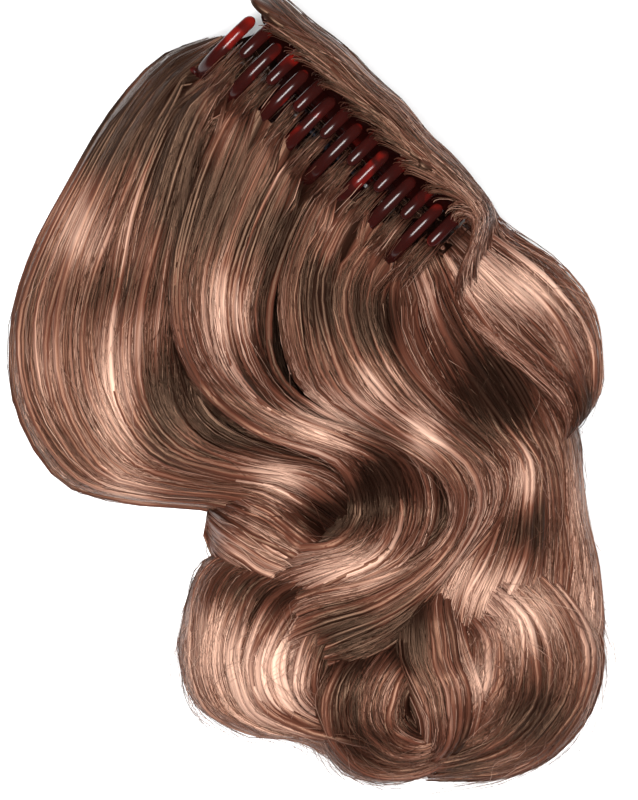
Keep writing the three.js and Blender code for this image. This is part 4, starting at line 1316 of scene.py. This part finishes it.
class PONYTAIL_OT_wisps(bpy.types.Operator):
    """Scatters fine hair round the teeth and along the edges of the fall"""

    bl_idname = "ponytail.wisps"
    bl_label = "Wisps and flyaways"

    def execute(self, context):
        hair = context.scene.ponytail_hair
        clip = context.scene.ponytail_clip
        material = hair_fibre_material()
        rng = np.random.default_rng(hair.seed + 2)
        roots = fibre_mesh("root_wisps", [self.root_paths(rng, clip)], material)
        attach(roots, "fixed_jaw")
        flyaways = fibre_mesh("flyaways", [self.flyaway_paths(name, hair) for name in FLYAWAYS], material)
        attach(flyaways, "fixed_jaw")
        return {"FINISHED"}

    def flyaway_paths(self, name, hair):
        """Single hairs that stand off a swathe and cross its strands."""
        count, steps = FLYAWAYS[name], 14
        swathe = Swathe(name)
        rng = np.random.default_rng([hair.seed, 70, list(SWATHES).index(name)])
        share = np.linspace(0, 1, steps)
        begin = rng.uniform(0.05, 0.75, count)
        end = np.minimum(begin + rng.uniform(0.15, 0.45, count), 1.0)
        t = begin[:, None] + (end - begin)[:, None] * share
        own = rng.uniform(0, 1, (count, 6))
        s = rng.uniform(-0.01, 1.01, count)[:, None] + 0.16 * drift(t, own, 2.0)
        spread = FLYAWAY_SWAY
        if name in FRIZZY:
            edge = swathe.plan["round"][1]
            outermost = rng.uniform(0, 1, count) < 0.35
            s = np.where(outermost[:, None], edge + 0.10 * drift(t, own, 1.2), s)
            spread = FRIZZY_SWAY
        paths = swathe.points(s, t, swathe.relief(np.clip(s, 0, 1), t))
        loose = rng.uniform(0.4, 2.6, count)[:, None] * MM * np.sin((0.15 + 0.85 * share) * math.pi / 2)
        paths[..., 2] += loose * (0.6 + 0.4 * drift(t, own[:, ::-1], 3.0)) + LOWEST_PATH
        sway = np.clip(rng.normal(0, spread, (2, count)), -MOST_SWAY, MOST_SWAY) * MM
        paths[..., :2] += np.moveaxis(sway[..., None] * share ** 1.5, 0, -1) * 1.3
        paths[..., 2] = np.maximum(paths[..., 2], LOWEST_PATH)
        thick = LOOSE_HAIR * (1 - 0.5 * share)[None] + 0 * t
        shade = swathe.shade(s, t) + 0.08 + rng.normal(0, 0.10, count)[:, None]
        return clear_of_swing(paths), thick, thick, shade, 3

    def root_paths(self, rng, clip):
        """Short strands that rise between the still jaw's teeth and turn down over the hair."""
        count, steps = 580, 11
        gap = first_gap(clip) + rng.integers(0, clip.teeth, count) * clip.pitch
        x = gap + rng.normal(0, 0.0017, count)
        t = np.linspace(0, 1, steps)
        degrees = rng.uniform(140, 176, count)[:, None]
        degrees = degrees - (degrees - rng.uniform(98, 122, count)[:, None]) * t
        reach = clip.radius - 0.004 + (0.004 + rng.uniform(0.0, 0.0045, count)[:, None]) * t ** 0.8
        own = rng.uniform(0, 1, (count, 6))
        reach = reach + 0.0003 * drift(t[None].repeat(count, 0), own, 0.8)
        along = x[:, None] + rng.normal(0.0006, 0.0012, count)[:, None] * t ** 1.5
        along = along + 0.0004 * t * drift(t[None].repeat(count, 0), own[:, ::-1], 0.8)
        # Dark between the teeth, lighter as they turn down over the hair: partly the hair's own darker roots
        # and partly painted shade
        shade = 0.12 + rng.normal(0, 0.16, count)[:, None] + 0.16 * t[None]
        thick = ROOT_HAIR * (1 - 0.6 * t)[None] + 0 * reach
        return to_row(on_curve(SIDE_A, degrees, reach, along)), thick, thick, shade, 3


class PONYTAIL_OT_stage(bpy.types.Operator):
    """Sets up the floor, the soft light and the camera"""

    bl_idname = "ponytail.stage"
    bl_label = "Studio"

    def execute(self, context):
        studio = context.scene.ponytail_studio
        bm = bmesh.new()
        bmesh.ops.create_grid(bm, x_segments=2, y_segments=2, size=2.5)
        floor = link_mesh(bm, "floor", floor_material())
        strip = bpy.data.lights.new("strip_light", "AREA")
        strip.shape = "RECTANGLE"
        strip.size, strip.size_y = STRIP_SIZE
        strip.energy = studio.key
        link_object("strip_light", strip).location = STRIP_PLACE
        world = bpy.data.worlds.new("studio")
        world.use_nodes = True
        background = world.node_tree.nodes["Background"]
        background.inputs["Color"].default_value = (1, 1, 1, 1)
        background.inputs["Strength"].default_value = studio.fill
        context.scene.world = world
        lens = bpy.data.cameras.new("camera")
        lens.sensor_fit = "VERTICAL"
        lens.sensor_height = SENSOR_HEIGHT
        lens.lens = SENSOR_HEIGHT * studio.distance / VIEW_HEIGHT
        lens.clip_end = 10
        camera = link_object("camera", lens)
        camera.location = (*VIEW_PLACE[:2], VIEW_PLACE[2] + studio.distance)
        camera.rotation_euler = (0, 0, math.radians(VIEW_TURN))
        context.scene.camera = camera
        context.scene.view_settings.view_transform = "Standard"
        return {"FINISHED"}


class PONYTAIL_PT_panel(bpy.types.Panel):
    """Lists the ponytail's pieces"""

    bl_idname = "PONYTAIL_PT_panel"
    bl_label = "Ponytail"
    bl_space_type = "VIEW_3D"
    bl_region_type = "UI"
    bl_category = "Ponytail"

    def draw(self, context):
        for group in (context.scene.ponytail_clip, context.scene.ponytail_hair,
                      context.scene.ponytail_colours, context.scene.ponytail_studio):
            box = self.layout.box()
            for name in group.__annotations__:
                box.prop(group, name)
        for operator in OPERATORS:
            self.layout.operator(operator.bl_idname)


OPERATORS = (PONYTAIL_OT_jaws, PONYTAIL_OT_hinge, PONYTAIL_OT_locks, PONYTAIL_OT_strands, PONYTAIL_OT_cover,
             PONYTAIL_OT_wisps, PONYTAIL_OT_stage)
GROUPS = {"ponytail_clip": PonytailClip, "ponytail_hair": PonytailHair, "ponytail_colours": PonytailColours,
          "ponytail_studio": PonytailStudio}


def register():
    for group in GROUPS.values():
        bpy.utils.register_class(group)
    for name, group in GROUPS.items():
        setattr(bpy.types.Scene, name, PointerProperty(type=group))
    for operator in (*OPERATORS, PONYTAIL_PT_panel):
        bpy.utils.register_class(operator)


def unregister():
    for operator in (PONYTAIL_PT_panel, *reversed(OPERATORS)):
        bpy.utils.unregister_class(operator)
    for name, group in GROUPS.items():
        delattr(bpy.types.Scene, name)
        bpy.utils.unregister_class(group)


def main():
    register()
    bpy.ops.ponytail.jaws()
    bpy.ops.ponytail.hinge()
    bpy.ops.ponytail.locks()
    bpy.ops.ponytail.strands()
    bpy.ops.ponytail.cover()
    bpy.ops.ponytail.wisps()
    bpy.ops.ponytail.stage()


if __name__ == "__main__":
    main()
